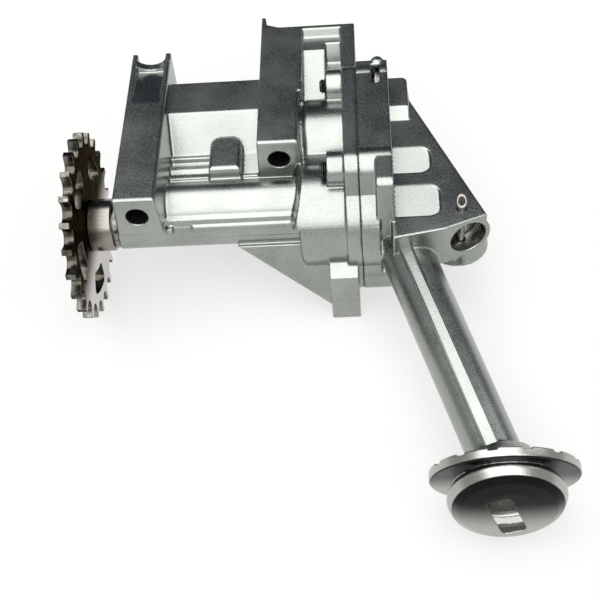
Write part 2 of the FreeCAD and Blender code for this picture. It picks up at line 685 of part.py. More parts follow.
def nook(points, x0, x1):
    rim_y = REAR_SEAT_Y - NOOK_RIM
    above = COLUMN_TOP_Z + 1
    outline = [(rim_y, above), (rim_y, COLUMN_TOP_Z)] + list(points) + [(points[-1][0], above)]
    return prism_x(outline, x0, x1)


def outlet_block():
    body = box(REAR_COLUMN_X, PARTING_X, OUTLET_BLOCK_Y, REAR_SEAT_Y, OUTLET_BLOCK_BASE, COLUMN_TOP_Z)
    left = nook(NOOK_LEFT, REAR_COLUMN_X + COLUMN_TOP_WIDTH / 2 + NOOK_WALL, NOOK_SPLIT_X)
    right = nook(NOOK_RIGHT, NOOK_SPLIT_X, PARTING_X - NOOK_FLANGE_WALL)
    return cut(body, [left, right])


def make_pump_housing():
    parts = shaft_tube() + web() + gear_case()
    parts.append(front_column())
    parts.append(rear_column())
    parts.append(outlet_block())
    parts.append(bolt_pattern_plate(FLANGE_BOSS_R, FLANGE_START, PARTING_X))
    for y, z in BOLT_PLACES[:2]:
        parts.append(rod_x(BODY_BOSS_R, y, z, FLANGE_START - BODY_BOSS_LENGTH, PARTING_X))
    parts.append(lug(BOLT_PLACES[2], -1))
    parts.append(lug(BOLT_PLACES[3], 1))
    parts.append(gusset())
    body = fuse(parts)
    tools = [rod_x(SHAFT_R + RUNNING_GAP, 0, 0, TUBE_START - 1, PARTING_X + 1)]
    tools.append(rod_x(GEAR_TIP_R + TIP_GAP, 0, 0, POCKET_FLOOR, PARTING_X + 1))
    tools.append(rod_x(GEAR_TIP_R + TIP_GAP, DRIVEN_Y, DRIVEN_Z, POCKET_FLOOR, PARTING_X + 1))
    socket_start = CASE_START - AXLE_SOCKET - FACE_GAP
    tools.append(rod_x(AXLE_R + SEAT_GAP, DRIVEN_Y, DRIVEN_Z, socket_start, PARTING_X))
    front = (FRONT_COLUMN_X, FRONT_FOOT_Y, FRONT_SEAT_Y)
    rear = (REAR_COLUMN_X, REAR_FOOT_Y, REAR_SEAT_Y)
    for x, foot, seat in (front, rear):
        tools.append(rod(BOLT_BORE_R, V(x, foot - 1, BOLT_AXIS_Z), Y_AXIS, seat - foot + 2))
    for y, z in BOLT_PLACES:
        tools.append(rod_x(BOLT_R + THREAD_GAP, y, z, FLANGE_START - THREAD_DEPTH, PARTING_X + 1))
    for y, z in DOWEL_PLACES:
        tools.append(rod_x(DOWEL_R + SEAT_GAP, y, z, PARTING_X - DOWEL_LENGTH / 2 - FACE_GAP, PARTING_X + 1))
    tools.append(rod(OUTLET_R, V(OUTLET_X, REAR_SEAT_Y - OUTLET_DEPTH, OUTLET_Z), Y_AXIS, OUTLET_DEPTH + 1))
    throat = REAR_SEAT_Y - OUTLET_DEPTH - DRIVEN_Y + 1
    tools.append(rod(OUTLET_THROAT_R, V(OUTLET_X, DRIVEN_Y, OUTLET_Z), Y_AXIS, throat))
    return cut(body, tools)


# Cover with valve barrel and pickup tube

def wedge():
    right = VALVE_MOUTH + VALVE_SIDE * WEDGE_FRONT_RIGHT
    left = VALVE_MOUTH - VALVE_SIDE * WEDGE_FRONT_LEFT
    start = COVER_END - 1
    outline = [(start, BLOCK_FAR_Y), (BLOCK_END_X, BLOCK_FAR_Y), WEDGE_FAR_CORNER]
    outline += [(right.x, right.y), (left.x, left.y), (start, WEDGE_FRONT_Y)]
    return prism_z(outline, WEDGE_BASE_Z, WEDGE_TOP_Z)


def wedge_pocket(far_y, near_y, reach):
    floor_z = WEDGE_TOP_Z - POCKET_DEPTH
    tool = box(COVER_END, reach, near_y, far_y, floor_z - POCKET_DEPTH, WEDGE_TOP_Z + POCKET_DEPTH)
    ends = edges_where(tool, lambda e: e.BoundBox.XMin > reach - 0.1 and e.BoundBox.YLength < 0.1)
    tool = tool.makeFillet(POCKET_END_R, ends)
    rise = WEDGE_TOP_Z + POCKET_DEPTH
    ramp = [(far_y, WEDGE_TOP_Z), (near_y, floor_z), (near_y, rise), (far_y, rise)]
    return tool.common(prism_x(ramp, COVER_END, reach))


def block():
    outline = [(BLOCK_FAR_Y, WEDGE_BASE_Z), (BLOCK_FAR_Y, BLOCK_TOP_Z), (BLOCK_NEAR_Y, BLOCK_TOP_Z)]
    outline += [(BLOCK_NEAR_Y - BLOCK_SLOPE, WEDGE_TOP_Z), (BLOCK_NEAR_Y - BLOCK_SLOPE, WEDGE_BASE_Z)]
    body = prism_x(outline, COVER_END - 1, BLOCK_END_X)
    side = edges_where(body, lambda e: e.BoundBox.XMin > BLOCK_END_X - 0.1)
    corner = [e for e in side if e.BoundBox.YMin > BLOCK_FAR_Y - 0.1]
    return body.makeFillet(BLOCK_CORNER_R, corner)


def cover_lip():
    far_top = SLAB_FAR_Y - SLAB_FAR_LEAN
    outline = [(SLAB_FAR_Y, LIP_LOW_Z), (SLAB_FAR_Y, SLAB_FAR_Z), (far_top, SLAB_TOP_Z)]
    outline += [(LIP_NEAR_Y, SLAB_TOP_Z), (LIP_NEAR_Y, LIP_LOW_Z)]
    return prism_x(outline, PARTING_X, COVER_END)


def valve_foot():
    middle = valve_point(FOOT_BACK)
    base = V(middle.x, middle.y, FOOT_LOW_Z)
    return Part.makeCone(FOOT_R, FOOT_TOP_R, FOOT_TOP_Z - FOOT_LOW_Z, base, Z_AXIS)


def bolt_post():
    x, y = POST_PLACE
    post = rod(POST_R, V(x, y, POST_TOP_Z - POST_DEPTH), Z_AXIS, POST_DEPTH)
    rim = edges_where(post, lambda e: e.BoundBox.ZMin > POST_TOP_Z - 0.1)
    return post.makeFillet(POST_EDGE_R, rim)


def pickup_tube():
    length = TUBE_TOP.distanceToPoint(STRAINER_CENTRE)
    tube = Part.makeCone(PICKUP_R_TOP, PICKUP_R_END, length, TUBE_TOP, TUBE_DIR)
    tilt = math.radians(RIB_TILT)
    side = TUBE_DIR.cross(V(0, -math.cos(tilt), math.sin(tilt))).normalize()
    out = side.cross(TUBE_DIR).normalize()
    start = TUBE_TOP + TUBE_DIR * RIB_INSET
    near = start - side * (RIB_WIDTH / 2)
    top = PICKUP_R_TOP + RIB_PROUD
    end_top = PICKUP_R_END + RIB_PROUD
    push = TUBE_DIR * (length - 2 * RIB_INSET)
    outline = [near, near + out * top, near + push + out * end_top, near + push]
    rib = prism(outline, side * RIB_WIDTH)
    disc = rod(DISC_R, STRAINER_CENTRE, STRAINER_DIR * -1, DISC_THICK)
    flare_end = STRAINER_CENTRE - STRAINER_DIR * (DISC_THICK / 2)
    flare = Part.makeCone(FLARE_R, PICKUP_R_END, FLARE_LENGTH, flare_end, STRAINER_DIR * -1)
    return [tube, rib, disc, flare]


def valve_tools():
    seat = crown_depth() + PISTON_CROWN + FACE_GAP
    main = rod(PISTON_R + RUNNING_GAP, valve_point(seat), VALVE_DIR, seat)
    cup_seat = PIN_DEPTH + CUP_STEP + PIN_R
    wide = rod(CUP_R + SEAT_GAP, valve_point(cup_seat), VALVE_DIR, 2 * cup_seat)
    pin = valve_point(PIN_DEPTH)
    hole = rod(PIN_R + SEAT_GAP, V(pin.x, pin.y, pin.z - 2 * VALVE_BARREL_R), Z_AXIS, 4 * VALVE_BARREL_R)
    feed_end = valve_point(seat + FEED_LENGTH)
    feed = rod(FEED_R, feed_end, VALVE_DIR, FEED_LENGTH + 1)
    rise = PRESSURE_PORT - feed_end
    riser = rod(FEED_R, feed_end, rise, rise.Length)
    spill = rod(SPILL_R, valve_point(seat - SPILL_R - 1), Z_AXIS * -1, 2 * VALVE_BARREL_R)
    return [main, wide, hole, feed, riser, spill]


def suction_tools():
    into_tube = TUBE_TOP + TUBE_DIR * (2 * SUCTION_R) - SUCTION_LOW
    across_run = SUCTION_LOW - SUCTION_PORT
    port_end = SUCTION_PORT_X + SUCTION_BREAK
    port = rod_x(SUCTION_PORT_R, SUCTION_PORT_Y, SUCTION_Z, PARTING_X - 1, port_end)
    across = rod(SUCTION_R, SUCTION_PORT, across_run, across_run.Length)
    down = rod(SUCTION_R, SUCTION_LOW, into_tube, into_tube.Length)
    bore_start = TUBE_TOP + TUBE_DIR * SUCTION_BREAK
    bore_length = TUBE_TOP.distanceToPoint(STRAINER_CENTRE) + SUCTION_BREAK
    bore = rod(PICKUP_BORE_R, bore_start, TUBE_DIR, bore_length)
    return [port, across, down, bore]


def cover_slab():
    outline = [(SLAB_FAR_Y, SLAB_FAR_Z), (SLAB_FAR_Y - SLAB_FAR_LEAN, SLAB_TOP_Z)]
    outline += [(SLAB_FRONT_Y, SLAB_TOP_Z), (SLAB_FRONT_Y, 0.0)] + list(SLAB_LOW)
    slab = prism_x(outline, HEAD_SEAT_X - 1, COVER_END)
    upper = edges_where(slab, lambda e: e.BoundBox.ZMin > SLAB_TOP_Z - 0.1)
    corner = [e for e in upper if e.BoundBox.YMax < SLAB_FRONT_Y + 0.1]
    return slab.makeFillet(SLAB_CORNER_R, corner)


def make_end_cover():
    parts = [bolt_pattern_plate(FLANGE_BOSS_R, PARTING_X, HEAD_SEAT_X)]
    parts += [cover_slab(), cover_lip(), block(), wedge(), valve_foot(), bolt_post()]
    parts.append(rod(VALVE_BARREL_R, valve_point(VALVE_BARREL_LENGTH), VALVE_DIR, VALVE_BARREL_LENGTH))
    for y, z in BOLT_PLACES:
        parts.append(rod_x(COVER_BOSS_R, y, z, PARTING_X, COVER_END))
    parts += pickup_tube()
    body = fuse(parts)
    tools = valve_tools() + suction_tools()
    tools += [wedge_pocket(*place) for place in POCKET_PLACES]
    tools.append(box(*HEAD_SLOT_X, *HEAD_SLOT_Y, HEAD_SLOT_Z, SLAB_TOP_Z + 1))
    port_end = PRESSURE_PORT_X + 1
    tools.append(rod_x(PRESSURE_PORT_R, PRESSURE_PORT_Y, PRESSURE_PORT_Z, PARTING_X - 1, port_end))
    tools.append(rod_x(SHAFT_R + RUNNING_GAP, 0, 0, PARTING_X - 1, PARTING_X + SHAFT_GRIP))
    tools.append(rod_x(AXLE_R + SEAT_GAP, DRIVEN_Y, DRIVEN_Z, PARTING_X - 1, PARTING_X + AXLE_GRIP))
    for y, z in BOLT_PLACES:
        tools.append(rod_x(BOLT_R + BOLT_GAP, y, z, PARTING_X - 1, COVER_END))
        tools.append(rod_x(HEAD_RECESS_R, y, z, HEAD_SEAT_X, COVER_END + 1))
    for y, z in DOWEL_PLACES:
        tools.append(rod_x(DOWEL_R + SEAT_GAP, y, z, PARTING_X - 1, PARTING_X + DOWEL_LENGTH / 2 + FACE_GAP))
    return cut(body, tools)


def make_cover_bolts():
    bolts = []
    for y, z in BOLT_PLACES:
        shank = rod_x(BOLT_R, y, z, HEAD_SEAT_X - BOLT_LENGTH, HEAD_SEAT_X)
        tip = edges_where(shank, lambda e: e.BoundBox.XMax < HEAD_SEAT_X - BOLT_LENGTH + 0.01)
        shank = shank.makeChamfer(HUB_RIM_BEVEL, tip)
        head = rod_x(HEAD_R, y, z, HEAD_SEAT_X, HEAD_SEAT_X + HEAD_HEIGHT)
        corners = []
        for number in range(6):
            angle = math.radians(60 * number)
            reach = SOCKET_ACROSS / math.sqrt(3)
            corners.append((y + reach * math.cos(angle), z + reach * math.sin(angle)))
        socket = prism_x(corners, HEAD_SEAT_X + HEAD_HEIGHT - SOCKET_DEPTH, HEAD_SEAT_X + HEAD_HEIGHT + 1)
        bolts.append(fuse([shank, head]).cut(socket))
    return Part.makeCompound(bolts)


def make_cover_dowels():
    dowels = []
    for y, z in DOWEL_PLACES:
        dowels.append(rod_x(DOWEL_R, y, z, PARTING_X - DOWEL_LENGTH / 2, PARTING_X + DOWEL_LENGTH / 2))
    return Part.makeCompound(dowels)


# Relief valve parts

def cup_start():
    return PIN_DEPTH + PIN_R + SEAT_GAP


def make_spring_cup():
    cup = rod(CUP_R, valve_point(cup_start() + CUP_LENGTH), VALVE_DIR, CUP_LENGTH)
    hollow_start = valve_point(cup_start() + CUP_LENGTH + 1)
    hollow = rod(CUP_R - CUP_WALL, hollow_start, VALVE_DIR, CUP_LENGTH + 1 - CUP_WALL)
    return cup.cut(hollow)


def spring_start():
    return cup_start() + CUP_WALL


def crown_depth():
    return spring_start() + SPRING_LENGTH


def make_relief_piston():
    crown = crown_depth()
    piston = rod(PISTON_R, valve_point(crown + PISTON_CROWN), VALVE_DIR, PISTON_LENGTH)
    hollow = rod(PISTON_R - PISTON_WALL, valve_point(crown), VALVE_DIR, PISTON_LENGTH)
    return piston.cut(hollow)


def wire_ring(radius, middle, angle, height):
    corners = []
    for side in range(WIRE_SIDES):
        around = 2 * math.pi * side / WIRE_SIDES
        reach = middle + radius * math.cos(around)
        rise = height + radius * math.sin(around)
        corners.append(V(reach * math.cos(angle), reach * math.sin(angle), rise))
    return Part.makePolygon(corners + [corners[0]])


def make_relief_spring():
    rise = SPRING_LENGTH - 2 * SPRING_WIRE_R
    steps = SPRING_TURNS * WIRE_STEPS
    rings = []
    for step in range(steps + 1):
        angle = 2 * math.pi * step / WIRE_STEPS
        rings.append(wire_ring(SPRING_WIRE_R, SPRING_R, angle, rise * step / steps))
    coil = Part.makeLoft(rings, True, True)
    return place_on(coil, valve_point(spring_start() + SPRING_WIRE_R), VALVE_DIR * -1)


def make_split_pin():
    pin = valve_point(PIN_DEPTH)
    top = WEDGE_TOP_Z + PIN_NECK
    bottom = VALVE_MOUTH.z - VALVE_BARREL_R - PIN_FOOT
    leg = rod(PIN_R, V(pin.x, pin.y, bottom), Z_AXIS, top - bottom)
    angles = [math.pi * step / WIRE_STEPS for step in range(WIRE_STEPS + 1)]
    half_turn = [wire_ring(PIN_WIRE_R, PIN_EYE_R, angle, 0) for angle in angles]
    first = Part.makeLoft(half_turn, True, True)
    second = first.copy()
    second.rotate(V(0, 0, 0), Z_AXIS, 180)
    eye_middle = V(pin.x, pin.y, top + PIN_EYE_R)
    eye = place_on(Part.Compound([first, second]), eye_middle, Y_AXIS)
    return fuse([leg, eye])


# Strainer

def strainer_revolve(points):
    corners = [V(radius, 0, height) for radius, height in points]
    return Part.Face(Part.makePolygon(corners + [corners[0]])).revolve(V(0, 0, 0), Z_AXIS, 360)


def bell_solid(inset):
    bottom = BELL_DEPTH - inset
    outline = [(0, bottom)]
    outline += [(BELL_BULGE_R - inset - narrower, bottom - lower) for lower, narrower in BELL_CURVE]
    outline += [(BELL_NECK_R - inset + wider, bottom - lower) for lower, wider in NECK_CURVE]
    outline += [(BELL_NECK_R - inset, -BELL_NECK_R / 2), (0, -BELL_NECK_R / 2)]
    return place_on(strainer_revolve(outline), BELL_BASE, BOTTOM_DIR)


def bell_rim():
    back = RIM_BACK - BELL_WALL
    middle = BELL_NECK_R / 2
    outline = [(middle, RIM_FRONT - BELL_WALL), (RIM_R - BELL_WALL, RIM_FRONT - BELL_WALL)]
    outline += [(RIM_R - BELL_WALL, RIM_BACK), (DISC_R - TAB_REACH, RIM_BACK), (DISC_R - TAB_REACH, back)]
    outline += [(RIM_R - RIM_EDGE_R, back), (RIM_R, back + RIM_EDGE_R), (RIM_R, RIM_FRONT - RIM_EDGE_R)]
    outline += [(RIM_R - RIM_EDGE_R, RIM_FRONT), (middle, RIM_FRONT)]
    rim = strainer_revolve(outline)
    notches = []
    for number in range(TAB_COUNT):
        notch = box(DISC_R - TAB_REACH - 1, RIM_R + 1, -TAB_NOTCH / 2, TAB_NOTCH / 2, back - 1, RIM_BACK)
        notch.rotate(V(0, 0, 0), Z_AXIS, 360.0 * number / TAB_COUNT)
        notches.append(notch)
    return place_on(cut(rim, notches), STRAINER_CENTRE, STRAINER_DIR)


def bell_slot():
    x, y = SLOT_LOW
    half = SLOT_WIDTH / 2
    slot = box(x - half, x + half, y, y + SLOT_LENGTH, BELL_DEPTH / 2, BELL_DEPTH + 2)
    corners = edges_where(slot, lambda e: e.BoundBox.ZLength > BELL_DEPTH / 2)
    slot = slot.makeFillet(SLOT_CORNER_R, corners)
    slot.rotate(V(x, y, 0), Z_AXIS, SLOT_LEAN)
    return place_on(Part.Compound([slot]), BELL_BASE, BOTTOM_DIR)


def make_strainer_bell():
    in_front = rod(RIM_R, STRAINER_CENTRE + STRAINER_DIR * (RIM_FRONT - BELL_WALL), STRAINER_DIR, 2 * RIM_R)
    shell = bell_solid(0).common(in_front)
    return cut(fuse([bell_rim(), shell]), [bell_solid(BELL_WALL), bell_slot()])


def make_strainer_gauze():
    radius = BELL_NECK_R - BELL_WALL - GAUZE_PLAY
    sphere_r = (radius ** 2 + GAUZE_RISE ** 2) / (2 * GAUZE_RISE)
    centre = V(0, 0, GAUZE_RISE - sphere_r)
    shell = Part.makeSphere(sphere_r, centre).cut(Part.makeSphere(sphere_r - GAUZE_THICK, centre))
    dome = shell.common(Part.makeCylinder(radius, GAUZE_RISE + 1))
    hole = Part.makeCylinder(radius - GAUZE_HOLD, GAUZE_THICK)
    skirt = Part.makeCylinder(DISC_R, GAUZE_THICK).cut(hole)
    gauze = fuse([dome, skirt])
    return place_on(gauze, STRAINER_CENTRE + STRAINER_DIR * SEAT_GAP, STRAINER_DIR)


MAKERS = {
    "sprocket_plate": make_sprocket_plate,
    "sprocket_hub": make_sprocket_hub,
    "thrust_washer": make_thrust_washer,
    "drive_shaft": make_drive_shaft,
    "drive_gear": make_drive_gear,
    "drive_gear_key": make_drive_gear_key,
    "driven_gear": make_driven_gear,
    "driven_axle": make_driven_axle,
    "pump_housing": make_pump_housing,
    "end_cover": make_end_cover,
    "cover_bolts": make_cover_bolts,
    "cover_dowels": make_cover_dowels,
    "relief_piston": make_relief_piston,
    "relief_spring": make_relief_spring,
    "spring_cup": make_spring_cup,
    "split_pin": make_split_pin,
    "strainer_bell": make_strainer_bell,
    "strainer_gauze": make_strainer_gauze,
}


def main():
    os.makedirs("parts", exist_ok=True)
    for name, maker in MAKERS.items():
        shape = maker()
        shape.exportStep("parts/" + name + ".step")
        print(name, "solids", len(shape.Solids), "valid", shape.isValid(), "volume", round(shape.Volume, 1))


main()
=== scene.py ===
"""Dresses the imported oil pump: castings, sprocket, screws, valve and strainer, with a studio around it."""

import math

import bmesh
import bpy
from bpy.props import FloatProperty, FloatVectorProperty, IntProperty, PointerProperty
from mathutils import Euler, Matrix, Vector


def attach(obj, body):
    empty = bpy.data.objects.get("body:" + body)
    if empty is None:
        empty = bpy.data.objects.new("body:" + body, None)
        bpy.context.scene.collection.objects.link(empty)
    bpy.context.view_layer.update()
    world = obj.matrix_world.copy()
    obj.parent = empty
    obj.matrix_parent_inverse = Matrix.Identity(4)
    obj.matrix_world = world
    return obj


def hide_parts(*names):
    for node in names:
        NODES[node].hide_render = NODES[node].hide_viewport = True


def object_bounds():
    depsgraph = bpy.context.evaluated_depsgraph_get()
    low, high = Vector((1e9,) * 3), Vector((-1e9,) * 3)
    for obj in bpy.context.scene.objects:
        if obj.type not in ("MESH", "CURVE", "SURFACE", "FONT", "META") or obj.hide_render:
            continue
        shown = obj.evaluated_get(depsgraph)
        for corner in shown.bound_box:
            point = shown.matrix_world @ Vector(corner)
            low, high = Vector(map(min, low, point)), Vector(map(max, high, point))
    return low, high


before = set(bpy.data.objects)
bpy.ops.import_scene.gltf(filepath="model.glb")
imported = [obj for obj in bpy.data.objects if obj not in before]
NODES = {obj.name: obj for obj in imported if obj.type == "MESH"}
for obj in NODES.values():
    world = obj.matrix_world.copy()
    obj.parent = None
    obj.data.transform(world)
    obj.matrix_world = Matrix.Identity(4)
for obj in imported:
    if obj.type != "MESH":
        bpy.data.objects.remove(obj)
CAD_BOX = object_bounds()

bl_info = {
    "name": "Oil pump dressing",
    "version": (1, 0, 0),
    "blender": (4, 5, 0),
    "location": "View3D > Sidebar > Pump",
    "description": "Models and finishes the pieces of a chain driven engine oil pump",
    "category": "Object",
}

MM = 0.001
SAME_POINT = 1e-6         # metres, points nearer than this are joined
SHAFT_AXIS = Vector((1, 0, 0))
UP = Vector((0, 0, 1))

# Front of the housing's shaft tube: sizes in millimetres, outlines are (y, z) pairs

LEDGE_X = (31.0, 85.0)
LEDGE_OUTLINE = [(-5.0, 8.9), (-6.7, 8.9), (-7.6, 8.0), (-7.9, 6.2), (-5.0, 6.2)]
PAD_X = (42.0, 85.0)
PAD_RADIUS = 10.5
PAD_ANGLES = (34.4, 29, 24, 19, 14, 9, 5)   # degrees
PAD_TOP = (-7.4, 5.9)
PAD_FOOT = (-9.0, 0.9)
NUB_LOW = (31.6, -10.4, 3.2)
NUB_HIGH = (34.4, -8.0, 6.2)
NUB_BEVEL = 0.3

# Pickup tube and its rib: points in metres, sizes in millimetres, starts measured along the tube

TUBE_TOP = Vector((124.2, -12.5, -4.8)) * MM
STRAINER_CENTRE = Vector((154.7, -115.6, -12.0)) * MM
TUBE_DIR = (STRAINER_CENTRE - TUBE_TOP).normalized()
TUBE_BORE = 7.05
TUBE_START = 2.0
TUBE_RADIUS_TOP = 10.3
TUBE_RADIUS_END = 9.52
RIB_TILT = 50.0           # degrees, the rib's face above the horizontal
RIB_HALF_WIDTH = 2.6
RIB_START = 3.0
RIB_END_GAP = 1.5
RIB_FOOT = 8.5
RIB_CREST = 11.65
RIB_TAPER = 0.78
RIB_CREST_FLOOR = 9.5     # edges above this height belong to the crest
RIB_BEVEL = 1.2

# Turned profiles are (radius, height) pairs in millimetres

HUB_PROFILE = [(6.6, 0.0), (10.0, 0.0), (10.6, 0.5), (10.6, 9.1), (10.1, 9.6), (6.6, 9.6)]
CUP_PROFILE = [(0, 0), (6.3, 0), (7.0, -0.25), (7.3, -0.9), (7.3, -9.0), (6.2, -9.0), (6.2, -1.6),
               (5.8, -1.1), (0, -1.1)]
PIN_PROFILE = [(0, 0), (0.9, 0), (1.3, 0.5), (1.3, 21.6), (0.8, 22.6), (0, 22.6)]

# Cover screws, in millimetres

SCREW_PLACES = ((48.4, 25.0), (0.5, 25.0), (-13.0, -18.5), (50.0, -20.0))
SCREW_SEAT_X = 116.0
SCREW_LENGTH = 22.3
THREAD_DEPTH = 0.6        # share of the pitch
THREAD_LENGTH = 15.0
HEAD_RADIUS = 5.0
HEAD_HEIGHT = 5.4
SOCKET_RADIUS = 2.6
SOCKET_FLOOR = 2.2

# Relief valve: its mouth in metres, sizes in millimetres

VALVE_ANGLE = math.radians(21.1)
VALVE_DIR = Vector((math.sin(VALVE_ANGLE), -math.cos(VALVE_ANGLE), 0))
VALVE_MOUTH = Vector((149.7, -17.9, 2.5)) * MM
CUP_DEPTH = 7.85
WEDGE_TOP_Z = 12.0
PIN_DEPTH = 6.5
PIN_BELOW = 11.8
EYE_RADIUS = 1.9
EYE_WIRE = 0.75
EYE_TILT = 42             # degrees
EYE_STRETCH = (0.85, 1.2, 1, 1)
EYE_RISE = 2.4

# Painted reflections on faces: a direction, and the heights in metres where the painted tone starts and is
# full

PLATE_FACE = (1.0, 0.0, 0.0)
BELL_FACE = (0.0, -0.9986, 0.0523)
# Painted sheen: the sprocket plate's face turned to the hub is painted pale from this height down
PLATE_PAINTED_SHEEN = (0.002, -0.016)
# Painted dark reflection: the bell's front face is painted near black from this height up
BELL_PAINTED_DARK_REFLECTION = (-0.023, -0.006)

# Studio, in metres and degrees

FLOOR_SIZE = 4.0
FLOOR_GLOW = 0.65         # share of white that the camera sees in the floor
BACKDROP = (1, 1, 0.99, 1)
CAMERA_PLACE = (0.1136874, -0.3313682, 0.3504518)
CAMERA_TURN = (39.3394, 4.3524, 0.4888)
SKY_BASE = (0.45, 0.46, 0.45, 1)
# Each patch has a direction, the cosines where it starts and is full, and a colour
SKY_PATCHES = (
    ((0.0, -0.98, 0.17), 0.80, 0.97, (0.75, 0.76, 0.74, 1)),
    ((0.0, 0.66, 0.75), 0.50, 0.80, (0.024, 0.034, 0.05, 1)),
    ((-0.20, 0.02, 0.98), 0.80, 0.90, (3.2, 3.2, 3.15, 1)),
    ((0.0, -0.55, 0.835), 0.77, 0.88, (3.1, 3.1, 3.05, 1)),
)
LAMP_PLACE = (0.62, 0.18, 0.55)
LAMP_AIM = (0.09, -0.02, 0.0)
LAMP_SIZE = 0.4
LAMP_POWER = 0.8          # watts


# Mesh helpers

def from_node(name):
    """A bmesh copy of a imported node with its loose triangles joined."""
    bm = bmesh.new()
    bm.from_mesh(NODES[name].data)
    bmesh.ops.remove_doubles(bm, verts=bm.verts, dist=SAME_POINT)
    return bm


def along(direction, place):
    """The matrix that stands local Z on a direction at a place."""
    turn = UP.rotation_difference(direction).to_matrix().to_4x4()
    return Matrix.Translation(place) @ turn


def spun(profile, steps, matrix, closed=False):
    """A turned shape from (radius, height) pairs in millimetres, around local Z."""
    bm = bmesh.new()
    verts = [bm.verts.new((r * MM, 0, h * MM)) for r, h in profile]
    edges = [bm.edges.new(pair) for pair in zip(verts, verts[1:])]
    if closed:
        edges.append(bm.edges.new((verts[-1], verts[0])))
    bmesh.ops.spin(bm, geom=verts + edges, cent=(0, 0, 0), axis=UP, angle=2 * math.pi, steps=steps,
                   use_merge=True)
    bmesh.ops.remove_doubles(bm, verts=bm.verts, dist=SAME_POINT)
    bmesh.ops.recalc_face_normals(bm, faces=bm.faces)
    bmesh.ops.transform(bm, matrix=matrix, verts=bm.verts)
    return bm


def round_edges(bm, edges, radius, segments=2):
    """Rounds some edges of a bmesh by a radius in metres."""
    bmesh.ops.bevel(bm, geom=edges, offset=radius, affect="EDGES", segments=segments, profile=0.5,
                    material=-1)


def block(corner_low, corner_high):
    """A box between two corners in millimetres."""
    low, high = Vector(corner_low) * MM, Vector(corner_high) * MM
    bm = bmesh.new()
    size = Matrix.Diagonal((*(high - low), 1))
    bmesh.ops.create_cube(bm, size=1, matrix=Matrix.Translation((low + high) / 2) @ size)
    return bm


def bar_x(outline, start, end):
    """A bar along X from an outline of (y, z) pairs in millimetres."""
    bm = bmesh.new()
    near = [bm.verts.new((start * MM, y * MM, z * MM)) for y, z in outline]
    far = [bm.verts.new((end * MM, y * MM, z * MM)) for y, z in outline]
    bm.faces.new(near)
    bm.faces.new(far[::-1])
    for index in range(len(outline)):
        bm.faces.new((near[index], near[index - 1], far[index - 1], far[index]))
    bmesh.ops.recalc_face_normals(bm, faces=bm.faces)
    return bm


def join(target, *others):
    """Adds the faces of other bmeshes to the first and frees them."""
    for other in others:
        mesh = bpy.data.meshes.new("part")
        other.to_mesh(mesh)
        other.free()
        target.from_mesh(mesh)
        bpy.data.meshes.remove(mesh)
    return target


def link_piece(name, mesh, finish, body, replaced):
    """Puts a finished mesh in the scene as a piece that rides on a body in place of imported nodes."""
    piece = bpy.data.objects.new(name, mesh)
    bpy.context.scene.collection.objects.link(piece)
    mesh.materials.clear()
    mesh.materials.append(bpy.data.materials[finish])
    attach(piece, body)
    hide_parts(*replaced)


def piece_from(name, bm, finish, body, replaced, sharp=35.0):
    """Turns a bmesh into a smooth shaded piece whose edges above an angle stay crisp."""
    mesh = bpy.data.meshes.new(name)
    bm.to_mesh(mesh)
    bm.free()
    mesh.shade_smooth()
    mesh.set_sharp_from_angle(angle=math.radians(sharp))
    link_piece(name, mesh, finish, body, replaced)


def evaluated_mesh(piece):
    """The mesh of an object with its modifiers worked in."""
    graph = bpy.context.evaluated_depsgraph_get()
    return bpy.data.meshes.new_from_object(piece.evaluated_get(graph))


def helper_object(name, bm):
    """A scratch object that holds a bmesh while modifiers work on it."""
    mesh = bpy.data.meshes.new(name)
    bm.to_mesh(mesh)
    bm.free()
    helper = bpy.data.objects.new(name, mesh)
    bpy.context.scene.collection.objects.link(helper)
    return helper


def cast_skin(core, name, voxel, smoothing, triangles, held=True):
    """Grows one rounded skin over the solids of a scratch object, as a casting has."""
    guide = bpy.data.objects.new(name + "_guide", core.data.copy())
    bpy.context.scene.collection.objects.link(guide)
    guide.hide_set(True)
    skin = core.modifiers.new("Skin", "REMESH")
    skin.mode = "VOXEL"
    skin.voxel_size = voxel
    if held:
        hold = core.modifiers.new("Hold", "SHRINKWRAP")
        hold.target = guide
        hold.wrap_method = "NEAREST_SURFACEPOINT"
    soften = core.modifiers.new("Soften", "SMOOTH")
    soften.factor = 0.5
    soften.iterations = smoothing
    grown = evaluated_mesh(core)
    faces = 2 * len(grown.polygons)
    core.modifiers.clear()
    core.data = grown
    thin = core.modifiers.new("Thin", "DECIMATE")
    thin.ratio = min(1.0, triangles / faces)
    result = evaluated_mesh(core)
    bpy.data.objects.remove(core)
    bpy.data.objects.remove(guide)
    result.name = name
    result.shade_smooth()
    return result


# Shader helpers

def node_group(name, inputs, outputs):
    """An empty shader group with number, colour or vector sockets."""
    group = bpy.data.node_groups.new(name, "ShaderNodeTree")
    kinds = {"value": "NodeSocketFloat", "colour": "NodeSocketColor", "vector": "NodeSocketVector"}
    for label, kind, default in inputs:
        socket = group.interface.new_socket(name=label, in_out="INPUT", socket_type=kinds[kind])
        socket.default_value = default
    for label, kind in outputs:
        group.interface.new_socket(name=label, in_out="OUTPUT", socket_type=kinds[kind])
    return group, group.nodes.new("NodeGroupInput"), group.nodes.new("NodeGroupOutput")


def add(tree, kind, **values):
    """A node whose properties are set by name and whose input sockets by number, as in_0."""
    node = tree.nodes.new(kind)
    for key, value in values.items():
        if key.startswith("in_"):
            node.inputs[int(key[3:])].default_value = value
        else:
            setattr(node, key, value)
    return node


def wire(tree, source, output, target, entry):
    """Links an output of one node to an input of another."""
    tree.links.new(source.outputs[output], target.inputs[entry])


def set_inputs(node, **values):
    """Sets input sockets by their labels, an underscore standing for a space."""
    for label, value in values.items():
        node.inputs[label.replace("_", " ")].default_value = value


